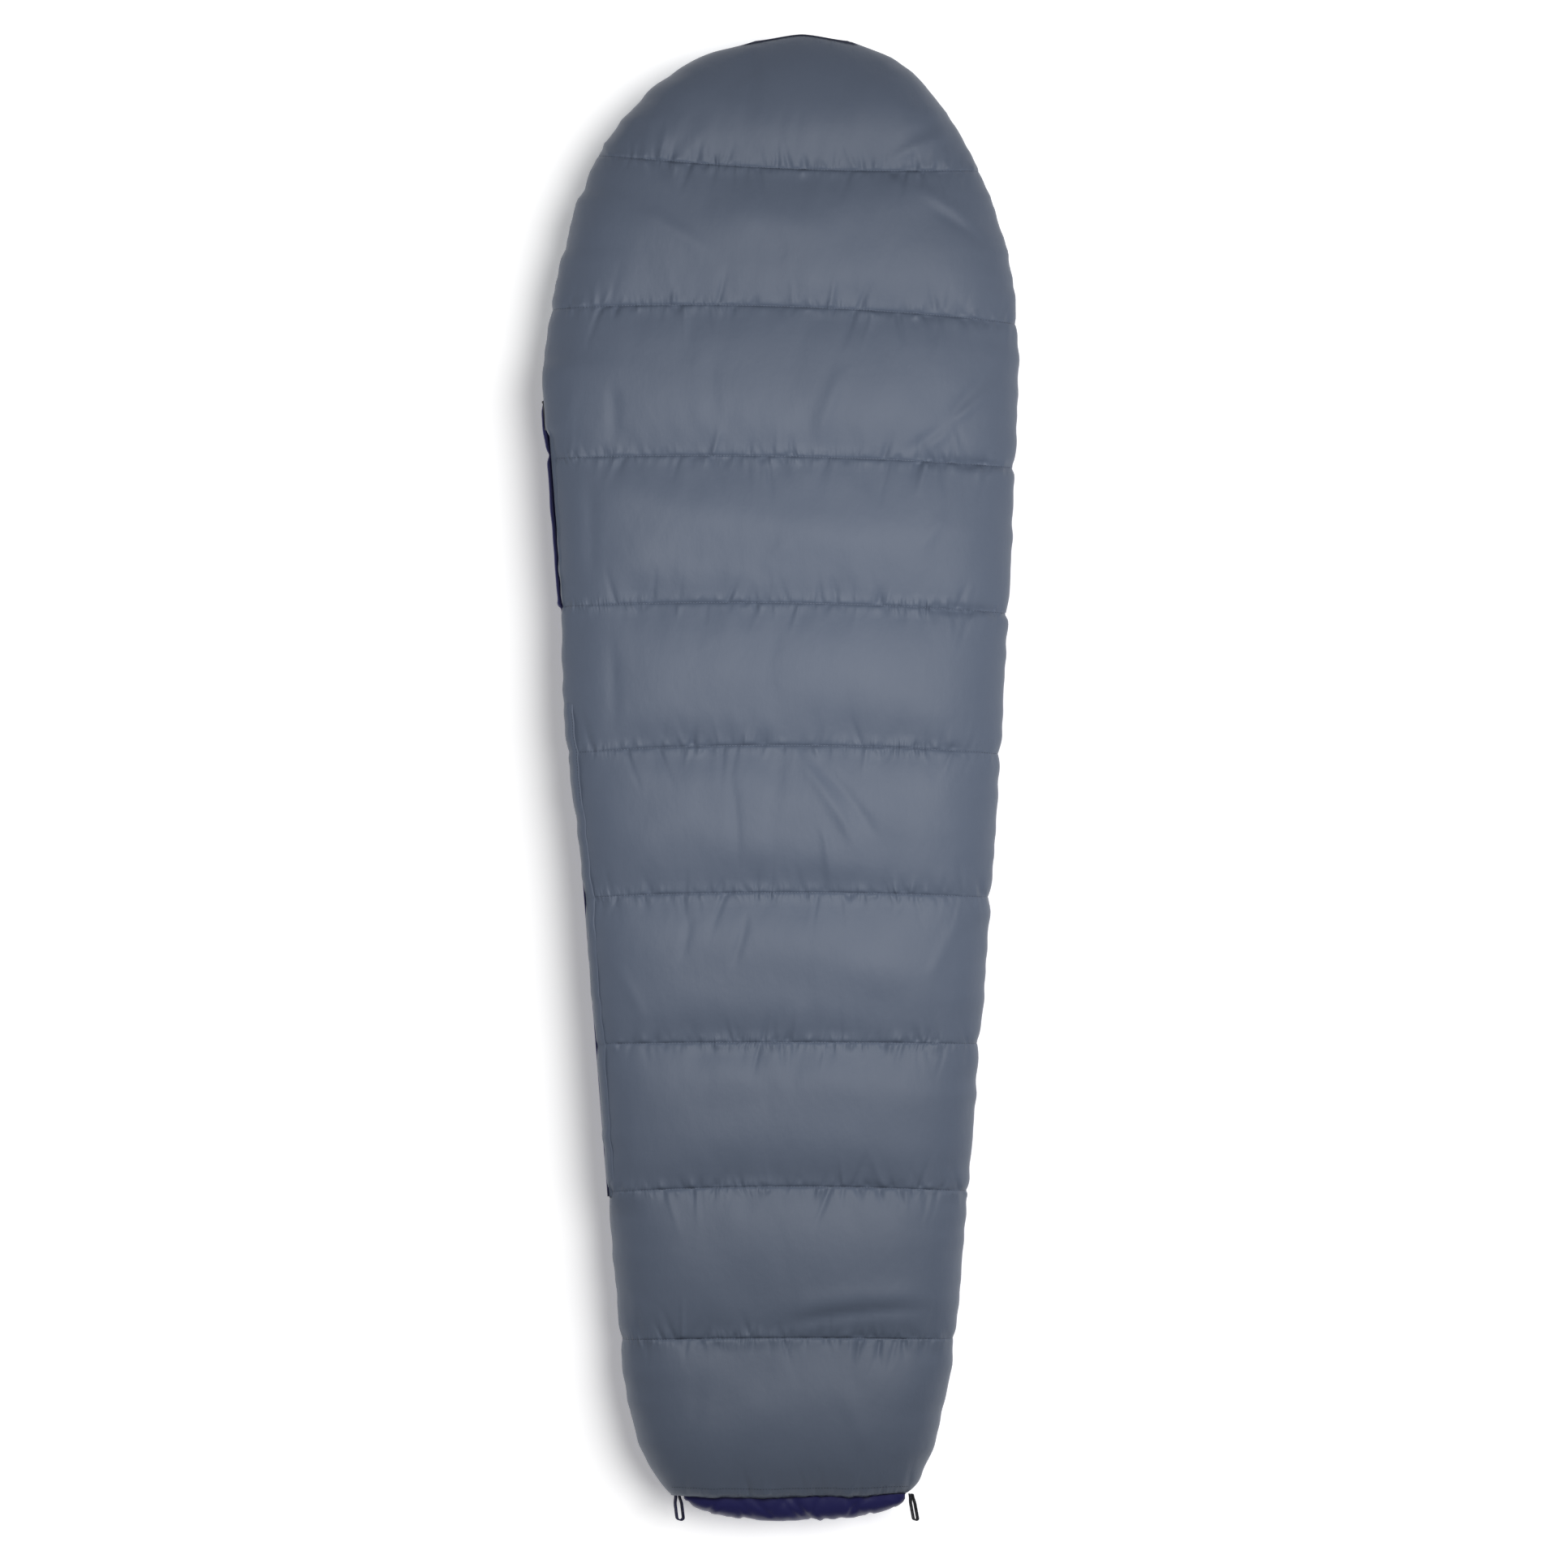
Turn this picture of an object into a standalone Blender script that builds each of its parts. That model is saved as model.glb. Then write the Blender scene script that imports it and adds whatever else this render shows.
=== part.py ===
"""Mummy sleeping bag with a hood, lying face down: metres, +Z up, +Y to the hood.

The front panel lies on the ground and the back panel on top of it. The back panel and the
hood open about the right side seam, and the zip runs up the left side. The origin is on
the ground, under the front panel.
"""

import math

import bmesh
import bpy
import numpy as np
from mathutils import Matrix, Vector

# ---------------------------------------------------------------- driving dimensions
LENGTH = 2.200  # foot box to hood crown
SHOULDER_WIDTH = 0.698
FOOT_WIDTH = 0.486  # where the foot starts to round
HOOD_LENGTH = 0.500  # neck to crown
HOOD_CROWN_WIDTH = 0.150  # nearly straight top of the hood
FOOT_ROUND = 0.200  # length of the rounded foot, up to the hem
FOOT_CORNER = 0.286  # long radius of the foot's corner curve
FOOT_BULGE = 0.040  # foot box past the back panel's hem
FOOT_LEAN = 0.009  # the foot's centre line to the right of the shoulders'
RIGHT_FULLNESS = 0.45  # how much the right side swells over a straight taper

CROWN_TO_FIRST_SEAM = 0.197
QUILT_PITCH = 0.2163
LAST_CHAMBER = 0.150  # least length of the chamber at the foot
CREST_SHARE = 0.12  # part of a chamber that each seam's slope takes
SEAM_LOFT = 0.026  # filling left at a quilt seam
EDGE_LOFT = 0.009  # filling left at the outer edge
LOFT = 0.054  # filling at the crest of a chamber
END_ROUND = 0.070  # length over which a panel's end rounds down
HEM_SHARE = 0.60  # of the seam's loft left at the hem
FLAT_SHARE = 0.40  # middle part of a panel's width that is flat

CLOTH = 0.0008
LAYER_GAP = 0.0005
TOUCH_GAP = 0.0003
RIM = 0.012  # cloth past the filling's edge, where shell and liner are sewn
INTERIOR_GAP = 0.016

NECK_GAP = 0.008  # front panel's top edge to the hood's face band
FACE_WIDTH = 0.300
FACE_HEIGHT = 0.190  # above the front panel's top edge
BAND_CLEAR_OF_GROUND = 0.004

ZIP_BOTTOM = -0.620
ZIP_TO_NECK = 0.004  # top end of the tapes to the neck edge
TAPE_REACH = 0.017  # a tape's outer edge from the middle plane
COIL_RADIUS = 0.0015
COIL_GAP = 0.0022  # between the two coils, for the slider's post

SLIDER_LENGTH = 0.016
SLIDER_HEIGHT = 0.012
SLIDER_PLATE = 0.0016
SLIDER_POST = 0.0014
PULL_LENGTH = 0.036
PULL_WIDTH = 0.0075
PULL_THICKNESS = 0.0016
PULL_PIN_RADIUS = 0.0008
PULL_EYE_RADIUS = 0.0021
PULL_NECK = 0.0046
PULL_STANDOFF = 0.0030  # pin's centre from the slider's face

TAB_WIDTH = 0.026
TAB_THICKNESS = 0.0012
DRAFT_TUBE_WIDTH = 0.032
DRAFT_TUBE_FROM_ZIP = 0.008

CORD_RADIUS = 0.0015
TUNNEL_INNER_RADIUS = 0.0032
CORD_HEIGHT = 0.030
CORD_LINE_FROM_NECK = 0.040  # straight stretch that the cord lock slides on
LOCK_RADIUS = 0.0080
LOCK_LENGTH = 0.0220
LOCK_WALL = 0.0027
LOCK_BORE_DEPTH = 0.0190
BUTTON_TRAVEL = 0.0040
BUTTON_STANDS_OUT = 0.0062
LOCK_X = -0.070

LOOP_LENGTH = 0.037
LOOP_WIDTH = 0.013
LOOP_WEBBING = 0.0016
LOOP_HEIGHT = 0.010

# ---------------------------------------------------------------- derived places
CROWN_Y = LENGTH / 2
FOOT_Y = -LENGTH / 2
HEM_Y = FOOT_Y + FOOT_BULGE
NECK_Y = CROWN_Y - HOOD_LENGTH
FOOT_START_Y = HEM_Y + FOOT_ROUND
BAND_Y = NECK_Y + NECK_GAP
MIDDLE_Z = INTERIOR_GAP / 2 + 2 * CLOTH + 2 * LAYER_GAP + LOFT
HOOD_RADIUS_Y = HOOD_LENGTH / math.sqrt(1 - (HOOD_CROWN_WIDTH / SHOULDER_WIDTH) ** 2)
ZIP_TOP = NECK_Y - ZIP_TO_NECK
COIL_Z = COIL_GAP / 2 + COIL_RADIUS

# ---------------------------------------------------------------- scene and materials
for old in list(bpy.data.objects):
    bpy.data.objects.remove(old, do_unlink=True)

BAG = bpy.data.collections.new("sleeping_bag")
CUTTERS = bpy.data.collections.new("cutters")
bpy.context.scene.collection.children.link(BAG)
bpy.context.scene.collection.children.link(CUTTERS)


def material(name, colour, roughness, metallic=0.0):
    made = bpy.data.materials.new(name)
    made.use_nodes = True
    principled = made.node_tree.nodes["Principled BSDF"]
    principled.inputs["Base Color"].default_value = (*colour, 1.0)
    principled.inputs["Roughness"].default_value = roughness
    principled.inputs["Metallic"].default_value = metallic
    return made


GREY_TAFFETA = material("grey_taffeta", (0.140, 0.168, 0.222), 0.55)
NAVY_TAFFETA = material("navy_taffeta", (0.016, 0.015, 0.092), 0.42)
LINER_CLOTH = material("liner_cloth", (0.055, 0.060, 0.085), 0.70)
WADDING = material("wadding", (0.80, 0.80, 0.78), 0.95)
TAPE_CLOTH = material("tape_cloth", (0.030, 0.032, 0.050), 0.80)
COIL_PLASTIC = material("coil_plastic", (0.022, 0.023, 0.032), 0.45)
SLIDER_METAL = material("slider_metal", (0.12, 0.12, 0.13), 0.38, 1.0)
LOCK_PLASTIC = material("lock_plastic", (0.020, 0.020, 0.024), 0.45)
SPRING_STEEL = material("spring_steel", (0.55, 0.55, 0.56), 0.30, 1.0)
HOOK_TAPE = material("hook_tape", (0.025, 0.026, 0.035), 0.90)
WEBBING = material("webbing", (0.020, 0.022, 0.045), 0.75)
CORD_BRAID = material("cord_braid", (0.030, 0.031, 0.040), 0.75)


def add(name, mesh, look, collection=BAG):
    made = bpy.data.objects.new(name, mesh)
    collection.objects.link(made)
    if look is not None:
        mesh.materials.append(look)
    return made


# ---------------------------------------------------------------- outline of the bag
def left_edge(y):
    """X of the left side, which is a straight taper between the neck and the foot."""
    return edge(y, -1, 0.0)


def right_edge(y):
    return edge(y, 1, RIGHT_FULLNESS)


def edge(y, side, fullness):
    half_shoulder = SHOULDER_WIDTH / 2
    half_foot = FOOT_WIDTH / 2
    if y >= NECK_Y:
        rise = (y - NECK_Y) / HOOD_RADIUS_Y
        return side * half_shoulder * math.sqrt(1 - rise * rise)
    if y >= FOOT_START_Y:
        share = (y - FOOT_START_Y) / (NECK_Y - FOOT_START_Y)
        swell = (1 - fullness) * share + fullness * math.sin(math.pi / 2 * share)
        half = half_foot + (half_shoulder - half_foot) * swell
        return side * half + FOOT_LEAN * (1 - share)
    fall = (FOOT_START_Y - y) / FOOT_CORNER
    return side * half_foot * math.sqrt(1 - fall * fall) + FOOT_LEAN


def quilt_seams():
    """Y of each seam across the back, from the hood to the foot."""
    seams = []
    y = CROWN_Y - CROWN_TO_FIRST_SEAM
    while y > HEM_Y + LAST_CHAMBER:
        seams.append(y)
        y -= QUILT_PITCH
    return seams


SEAMS = quilt_seams()


def panel_rows(end):
    """Rows across a panel from the hem to end, as (y, loft at the row's crest)."""
    borders = [HEM_Y] + [y for y in reversed(SEAMS) if y < end - LAST_CHAMBER / 4] + [end]
    rows = []
    for low, high in zip(borders, borders[1:]):
        slope = CREST_SHARE * (high - low)
        curved = high > NECK_Y + TOUCH_GAP or low < FOOT_START_Y
        inner = 3 if curved else 1
        rows.append((low, SEAM_LOFT))
        for step in range(inner + 2):
            share = step / (inner + 1)
            rows.append((low + slope + (high - low - 2 * slope) * share, LOFT))
    rows.append((end, SEAM_LOFT))
    return rows


def rounded_end(y, end):
    """0 at the panel's upper end, HEM_SHARE at the hem and 1 away from both."""
    near_end = min(end - y, END_ROUND) / END_ROUND
    near_hem = min(y - HEM_Y, END_ROUND) / END_ROUND
    at_end = math.sqrt(1 - (1 - near_end) ** 2)
    at_hem = math.sqrt(1 - (1 - near_hem) ** 2)
    return at_end * (HEM_SHARE + (1 - HEM_SHARE) * at_hem)


def crown(u):
    """Height of a panel across its width, u from -1 to 1, flat in the middle."""
    out = max(0.0, abs(u) - FLAT_SHARE) / (1 - FLAT_SHARE)
    return math.sqrt(max(0.0, 1 - out ** 3))


INNER_COLUMNS = [-0.88, -0.70, -FLAT_SHARE, 0.0, FLAT_SHARE, 0.70, 0.88]


# ---------------------------------------------------------------- solids from a bent grid
def grid_solid(name, plan, low, high, look):
    """A grid whose points lie at plan[row][column], pulled up from low to high."""
    plan = np.array(plan, float)
    rows, columns = plan.shape[:2]
    low = np.broadcast_to(low, (rows, columns))
    high = np.broadcast_to(high, (rows, columns))
    bm = bmesh.new()
    bmesh.ops.create_grid(bm, x_segments=columns - 1, y_segments=rows - 1, size=0.5)
    for vert in bm.verts:
        vert.co.x = round((vert.co.x + 0.5) * (columns - 1))
        vert.co.y = round((vert.co.y + 0.5) * (rows - 1))
    bmesh.ops.triangulate(bm, faces=bm.faces[:], quad_method="FIXED")
    pulled = bmesh.ops.extrude_face_region(bm, geom=bm.faces[:])
    for vert in [item for item in pulled["geom"] if isinstance(item, bmesh.types.BMVert)]:
        vert.co.z = 1.0
    for vert in bm.verts:
        column, row = int(vert.co.x), int(vert.co.y)
        height = high[row, column] if vert.co.z > 0.5 else low[row, column]
        vert.co = (plan[row, column, 0], plan[row, column, 1], height)
    bmesh.ops.recalc_face_normals(bm, faces=bm.faces[:])
    mesh = bpy.data.meshes.new(name)
    bm.to_mesh(mesh)
    bm.free()
    return add(name, mesh, look)


def three_layers(prefix, plan, heights, faces_up, shell_look, lift=0.0):
    """Shell, insulation and liner of one quilted panel, flat where they face the sleeper.

    plan has one column of cloth past the filling on each side. heights is the filling's
    loft at each point, and 0 in those outer columns.
    """
    side = 1 if faces_up else -1
    plan = np.array(plan, float)
    heights = np.array(heights, float)
    base = INTERIOR_GAP / 2
    filling_low = base + CLOTH + LAYER_GAP
    filling_high = filling_low + heights
    shell_low = filling_high + LAYER_GAP
    shell_high = shell_low + CLOTH
    shell_high = np.minimum(shell_high, MIDDLE_Z - lift)

    def solid(name, part_plan, inner, outer, look):
        ends = (MIDDLE_Z + side * inner, MIDDLE_Z + side * outer)
        low, high = ends if faces_up else ends[::-1]
        return grid_solid(f"{prefix}_{name}", part_plan, low, high, look)

    return [
        solid("outer_shell", plan, shell_low, shell_high, shell_look),
        solid("insulation", plan[:, 1:-1], filling_low, filling_high[:, 1:-1], WADDING),
        solid("liner", plan, base, base + CLOTH, LINER_CLOTH),
    ]


def body_panel(prefix, end, faces_up, look):
    plan, heights = [], []
    for y, loft in panel_rows(end):
        left, right = left_edge(y), right_edge(y)
        middle, half = (left + right) / 2, (right - left) / 2
        filled = 1 - RIM / half
        columns = [-1.0, -filled] + [u * filled for u in INNER_COLUMNS] + [filled, 1.0]
        plan.append([(middle + u * half, y) for u in columns])
        swell = (loft - EDGE_LOFT) * rounded_end(y, end)
        lofts = [EDGE_LOFT + swell * crown(u / filled) for u in columns[1:-1]]
        heights.append([0.0] + lofts + [0.0])
    return three_layers(prefix, plan, heights, faces_up, look)


def hood_face_band():
    """Crescent that closes the hood around the face opening, below the back panel."""
    plan, heights = [], []
    steps = 18
    across = [0.0, 0.06, 0.30, 0.55, 0.80, 0.94, 1.0]
    for step in range(steps + 1):
        angle = math.pi * step / steps
        outer_y = max(BAND_Y, min(CROWN_Y, NECK_Y + HOOD_RADIUS_Y * math.sin(angle)))
        outer_x = right_edge(outer_y) * (1 if angle < math.pi / 2 else -1)
        if outer_y >= CROWN_Y - TOUCH_GAP:
            outer_x = SHOULDER_WIDTH / 2 * math.cos(angle)
        inner = face_edge(angle)
        plan.append([inner.lerp(Vector((outer_x, outer_y)), share) for share in across])
        swell = LOFT - BAND_CLEAR_OF_GROUND - EDGE_LOFT
        lofts = [EDGE_LOFT + swell * crown(2 * share - 1) for share in across[1:-1]]
        heights.append([0.0] + lofts + [0.0])
    return three_layers(
        "hood_band", plan, heights, False, GREY_TAFFETA, BAND_CLEAR_OF_GROUND
    )


def face_edge(angle, inward=0.0):
    """Point of the face opening's edge, or inward of it."""
    across = FACE_WIDTH / 2 - inward
    rise = FACE_HEIGHT - inward
    return Vector((across * math.cos(angle), BAND_Y + rise * math.sin(angle)))


def wall(name, path, thickness, low, high, look):
    """A thin upright strip along path, its outer face on the path."""
    plan = []
    for index, point in enumerate(path):
        before = path[max(index - 1, 0)]
        after = path[min(index + 1, len(path) - 1)]
        along = (after - before).normalized()
        plan.append([point + Vector((-along.y, along.x)) * thickness, point])
    return grid_solid(name, plan, low, high, look)


def side_path(edge_of, low, high, steps):
    """Points up one side of the bag."""
    ys = [low + (high - low) * step / steps for step in range(steps + 1)]
    return [Vector((edge_of(y), y)) for y in ys]


# ---------------------------------------------------------------- panels
body_panel("back", CROWN_Y, True, GREY_TAFFETA)
body_panel("front", NECK_Y, False, NAVY_TAFFETA)
hood_face_band()

# Side walls of the sleeping space: each half stops at the middle plane, where the bag opens.
WALL = 0.0020
WALL_REACH = INTERIOR_GAP / 2 - LAYER_GAP
BACK_WALL = (MIDDLE_Z + TOUCH_GAP / 2, MIDDLE_Z + WALL_REACH)
FRONT_WALL = (MIDDLE_Z - WALL_REACH, MIDDLE_Z - TOUCH_GAP / 2)
WALL_FOOT_Y = HEM_Y + WALL
ZIP_WALL_GAP = 0.002
right_side = side_path(right_edge, WALL_FOOT_Y, NECK_Y, 16)
left_side = side_path(left_edge, WALL_FOOT_Y, ZIP_BOTTOM - ZIP_WALL_GAP, 8)[::-1]
for side_name, path in (("right", right_side), ("left", left_side)):
    wall(f"back_{side_name}_gusset", path, WALL, *BACK_WALL, GREY_TAFFETA)
    wall(f"front_{side_name}_gusset", path, WALL, *FRONT_WALL, NAVY_TAFFETA)

crown_path = side_path(right_edge, BAND_Y, CROWN_Y, 10)
crown_path += [Vector((-p.x, p.y)) for p in reversed(crown_path)]
wall(
    "hood_gusset", crown_path, WALL, MIDDLE_Z - WALL_REACH, MIDDLE_Z + WALL_REACH, GREY_TAFFETA
)


# ---------------------------------------------------------------- foot box
FOOT_BOX_GAP = 0.003
FOOT_BOX_LOW = 0.022
FOOT_BOX_BELOW_TOP = 0.036
FOOT_BOX_HIGH = 2 * MIDDLE_Z - FOOT_BOX_BELOW_TOP
FOOT_BOX_ROUND = 0.014
FOOT_BOX_END_SHARE = 0.25  # of the bulge left at the box's two ends
FOOT_BOX_LEFT_INSET = 0.020  # the box starts inside the hem's left end
FOOT_BOX_LEFT = left_edge(HEM_Y) + FOOT_BOX_LEFT_INSET
FOOT_BOX_RIGHT = right_edge(HEM_Y)


def foot_box():
    """Padded end wall that bulges past the hem, in its own shell."""
    inner_y = HEM_Y - FOOT_BOX_GAP
    middle = (FOOT_BOX_LEFT + FOOT_BOX_RIGHT) / 2
    half = (FOOT_BOX_RIGHT - FOOT_BOX_LEFT) / 2
    steps = 12
    shell_plan, fill_plan, drops = [], [], []
    for step in range(steps + 1):
        u = 1 - 2 * step / steps
        rounded = FOOT_BOX_END_SHARE + (1 - FOOT_BOX_END_SHARE) * math.sqrt(1 - u * u)
        bulge = (inner_y - FOOT_Y) * rounded
        outer = Vector((middle + u * half, inner_y - bulge))
        shell_plan.append([outer + Vector((0, CLOTH)), outer])
        depth = bulge - CLOTH - LAYER_GAP
        fill_plan.append(
            [(outer.x, inner_y - depth * share) for share in (0.0, 0.5, 1.0)]
        )
        drops.append([0.0, FOOT_BOX_ROUND / 4, FOOT_BOX_ROUND])
    drops = np.array(drops)
    grid_solid(
        "foot_box_shell", shell_plan, FOOT_BOX_LOW + FOOT_BOX_ROUND,
        FOOT_BOX_HIGH - FOOT_BOX_ROUND, NAVY_TAFFETA,
    )
    grid_solid(
        "foot_box_insulation", fill_plan, FOOT_BOX_LOW + drops, FOOT_BOX_HIGH - drops, WADDING
    )


foot_box()


# ---------------------------------------------------------------- side seam and zip line
SEAM_RADIUS = 0.0016
SEAM_CLEARANCE = SEAM_RADIUS + 0.0012


def outward_seam():
    """Hinge line of the side seam: right of the whole right side, through its two ends."""
    low = Vector((right_edge(FOOT_START_Y), FOOT_START_Y))
    high = Vector((right_edge(NECK_Y), NECK_Y))
    along = (high - low).normalized()
    out = Vector((along.y, -along.x))
    points = side_path(right_edge, HEM_Y, CROWN_Y, 60)
    reach = max((point - low).dot(out) for point in points)
    return low + out * (reach + SEAM_CLEARANCE), along


SEAM_POINT, SEAM_ALONG = outward_seam()


def on_seam(y):
    return SEAM_POINT + SEAM_ALONG * ((y - SEAM_POINT.y) / SEAM_ALONG.y)


def on_zip(y, out=0.0):
    """Point of the straight zip line, and out from it on the left."""
    return Vector((left_edge(y) - LAYER_GAP - CLOTH / 2 - out, y))


ZIP_ALONG = (on_zip(NECK_Y) - on_zip(FOOT_START_Y)).normalized()
ZIP_TURN = math.atan2(-ZIP_ALONG.x, ZIP_ALONG.y)


def rod(name, points, radius, look, resolution=2):
    """Round rod along points, with filled ends."""
    curve = bpy.data.curves.new(name, "CURVE")
    curve.dimensions = "3D"
    spline = curve.splines.new("POLY")
    spline.points.add(len(points) - 1)
    for target, point in zip(spline.points, points):
        target.co = (*point, 1.0)
    curve.bevel_depth = radius
    curve.bevel_resolution = resolution
    curve.use_fill_caps = True
    return add(name, curve, look)


def at_height(point, z):
    return (point.x, point.y, z)


rod(
    "right_side_seam",
    [at_height(on_seam(FOOT_START_Y), MIDDLE_Z), at_height(on_seam(NECK_Y), MIDDLE_Z)],
    SEAM_RADIUS,
    NAVY_TAFFETA,
)


def zip_strip(name, out, thickness, near, far, low_y, high_y, look):
    """Flat upright strip along the zip, from near to far of the middle plane."""
    path = [on_zip(low_y, out), on_zip(high_y, out)]
    plan = [[point, point - Vector((thickness, 0))] for point in path]
    low, high = sorted((MIDDLE_Z + near, MIDDLE_Z + far))
    return grid_solid(name, plan, low, high, look)


TAPE_NEAR = COIL_Z + COIL_RADIUS + TOUCH_GAP
STOP_LENGTH = 0.004
FACING_NEAR = SLIDER_HEIGHT / 2 + 0.0008
FACING_REACH = 0.021
FACING_OUT = CLOTH / 2 + LAYER_GAP
PIPING_RADIUS = 0.0028
TAB_LOW_Y = ZIP_TOP - TAB_WIDTH
COIL_LOW = ZIP_BOTTOM + STOP_LENGTH + TOUCH_GAP
COIL_HIGH = TAB_LOW_Y - TOUCH_GAP - STOP_LENGTH
for prefix, side in (("back", 1), ("front", -1)):
    zip_strip(
        f"{prefix}_zip_tape", -CLOTH / 2, CLOTH, side * TAPE_NEAR, side * TAPE_REACH,
        ZIP_BOTTOM, ZIP_TOP, TAPE_CLOTH,
    )
    rod(
        f"{prefix}_zip_coil",
        [at_height(on_zip(y), MIDDLE_Z + side * COIL_Z) for y in (COIL_LOW, COIL_HIGH)],
        COIL_RADIUS,
        COIL_PLASTIC,
    )
STOP_REACH = COIL_Z + COIL_RADIUS
zip_strip(
    "zip_bottom_stop", -COIL_RADIUS, 2 * COIL_RADIUS, -STOP_REACH, -TOUCH_GAP / 2,
    ZIP_BOTTOM, ZIP_BOTTOM + STOP_LENGTH, SLIDER_METAL,
)
zip_strip(
    "zip_top_stop", -COIL_RADIUS, 2 * COIL_RADIUS, -STOP_REACH, -TOUCH_GAP / 2,
    COIL_HIGH + TOUCH_GAP, COIL_HIGH + TOUCH_GAP + STOP_LENGTH, SLIDER_METAL,
)
zip_strip(
    "back_zip_facing", FACING_OUT, CLOTH, FACING_NEAR, FACING_REACH, ZIP_BOTTOM, ZIP_TOP,
    GREY_TAFFETA,
)
rod(
    "front_edge_piping",
    [
        at_height(on_zip(y, FACING_OUT + PIPING_RADIUS), MIDDLE_Z - TAPE_REACH + PIPING_RADIUS)
        for y in (ZIP_BOTTOM, TAB_LOW_Y - 2 * TOUCH_GAP)
    ],
    PIPING_RADIUS,
    NAVY_TAFFETA,
)

# Hook-and-loop tab over the top end of the zip, and the loop patch that it presses on.
PATCH_THICKNESS = 0.0010
TAB_OUT = FACING_OUT + CLOTH + LAYER_GAP
TAB_REACH = FACING_REACH + 0.001
zip_strip(
    "loop_patch", FACING_OUT, PATCH_THICKNESS - TOUCH_GAP, -FACING_NEAR, -TAPE_REACH,
    TAB_LOW_Y, ZIP_TOP, HOOK_TAPE,
)
zip_strip(
    "closing_tab", TAB_OUT, TAB_THICKNESS, -TAPE_REACH, TAB_REACH, TAB_LOW_Y, ZIP_TOP, HOOK_TAPE
)

# Draft tube, sewn to the back liner behind the zip.
tube_rows, tube_drops = [], []
TUBE_END = 0.010
TUBE_SIDE_DROP = 0.003  # at its long sides
TUBE_END_DROP = 0.004  # at its corners
for y in (ZIP_BOTTOM, ZIP_BOTTOM + TUBE_END, ZIP_TOP - TUBE_END, ZIP_TOP):
    inner = on_zip(y, -DRAFT_TUBE_FROM_ZIP)
    shares = (0.0, 0.2, 0.8, 1.0)
    tube_rows.append([(inner.x + DRAFT_TUBE_WIDTH * share, y) for share in shares])
    at_end = y in (ZIP_BOTTOM, ZIP_TOP)
    corner = TUBE_END_DROP if at_end else TUBE_SIDE_DROP
    inner_drop = TUBE_SIDE_DROP if at_end else 0.0
    tube_drops.append([corner, inner_drop, inner_drop, corner])
TUBE_HALF = INTERIOR_GAP / 2 - LAYER_GAP
tube_drops = np.array(tube_drops)
grid_solid(
    "draft_tube", tube_rows, MIDDLE_Z - TUBE_HALF + tube_drops,
    MIDDLE_Z + TUBE_HALF - tube_drops, LINER_CLOTH,
)


# ---------------------------------------------------------------- small hard pieces
def box(name, size, centre, look=None, turn=0.0, collection=BAG):
    bm = bmesh.new()
    bmesh.ops.create_cube(bm, size=1.0, matrix=Matrix.Diagonal((*size, 1.0)))
    mesh = bpy.data.meshes.new(name)
    bm.to_mesh(mesh)
    bm.free()
    made = add(name, mesh, look, collection)
    made.location = centre
    made.rotation_euler.z = turn
    return made


def cylinder(name, radius, length, centre, axis, look=None, segments=20, collection=BAG):
    bm = bmesh.new()
    bmesh.ops.create_cone(
        bm, cap_ends=True, segments=segments, radius1=radius, radius2=radius, depth=length
    )
    mesh = bpy.data.meshes.new(name)
    bm.to_mesh(mesh)
    bm.free()
    made = add(name, mesh, look, collection)
    made.location = centre
    made.rotation_mode = "QUATERNION"
    made.rotation_quaternion = Vector(axis).to_track_quat("Z", "Y")
    return made


def combine(target, other, operation):
    """Boolean of target with other, which moves to the cutters."""
    step = target.modifiers.new(other.name, "BOOLEAN")
    step.operation = operation
    step.object = other
    step.solver = "EXACT"
    for holder in list(other.users_collection):
        holder.objects.unlink(other)
    CUTTERS.objects.link(other)
    other.hide_render = True
    other.display_type = "WIRE"


# ---------------------------------------------------------------- zip slider and pull
SLIDER_TOP_Y = COIL_HIGH - 0.001
SLIDER_Y = SLIDER_TOP_Y - SLIDER_LENGTH / 2
SLIDER_CLEARANCE = 0.0005
PLATE_OUT = COIL_RADIUS + SLIDER_CLEARANCE + SLIDER_PLATE / 2
FACE_OUT = COIL_RADIUS + SLIDER_CLEARANCE + SLIDER_PLATE
PIN_OUT = FACE_OUT + PULL_STANDOFF
LUG_THICKNESS = 0.0012
LUG_GAP = PULL_NECK + 2 * TOUCH_GAP
LUG_SIZE = 0.0034
LUG_BITE = 0.0006


def beside_zip(y, out, z):
    """World point out from the zip line, square to it."""
    point = on_zip(y) + Vector((-ZIP_ALONG.y, ZIP_ALONG.x)) * out
    return Vector((point.x, point.y, MIDDLE_Z + z))


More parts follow.
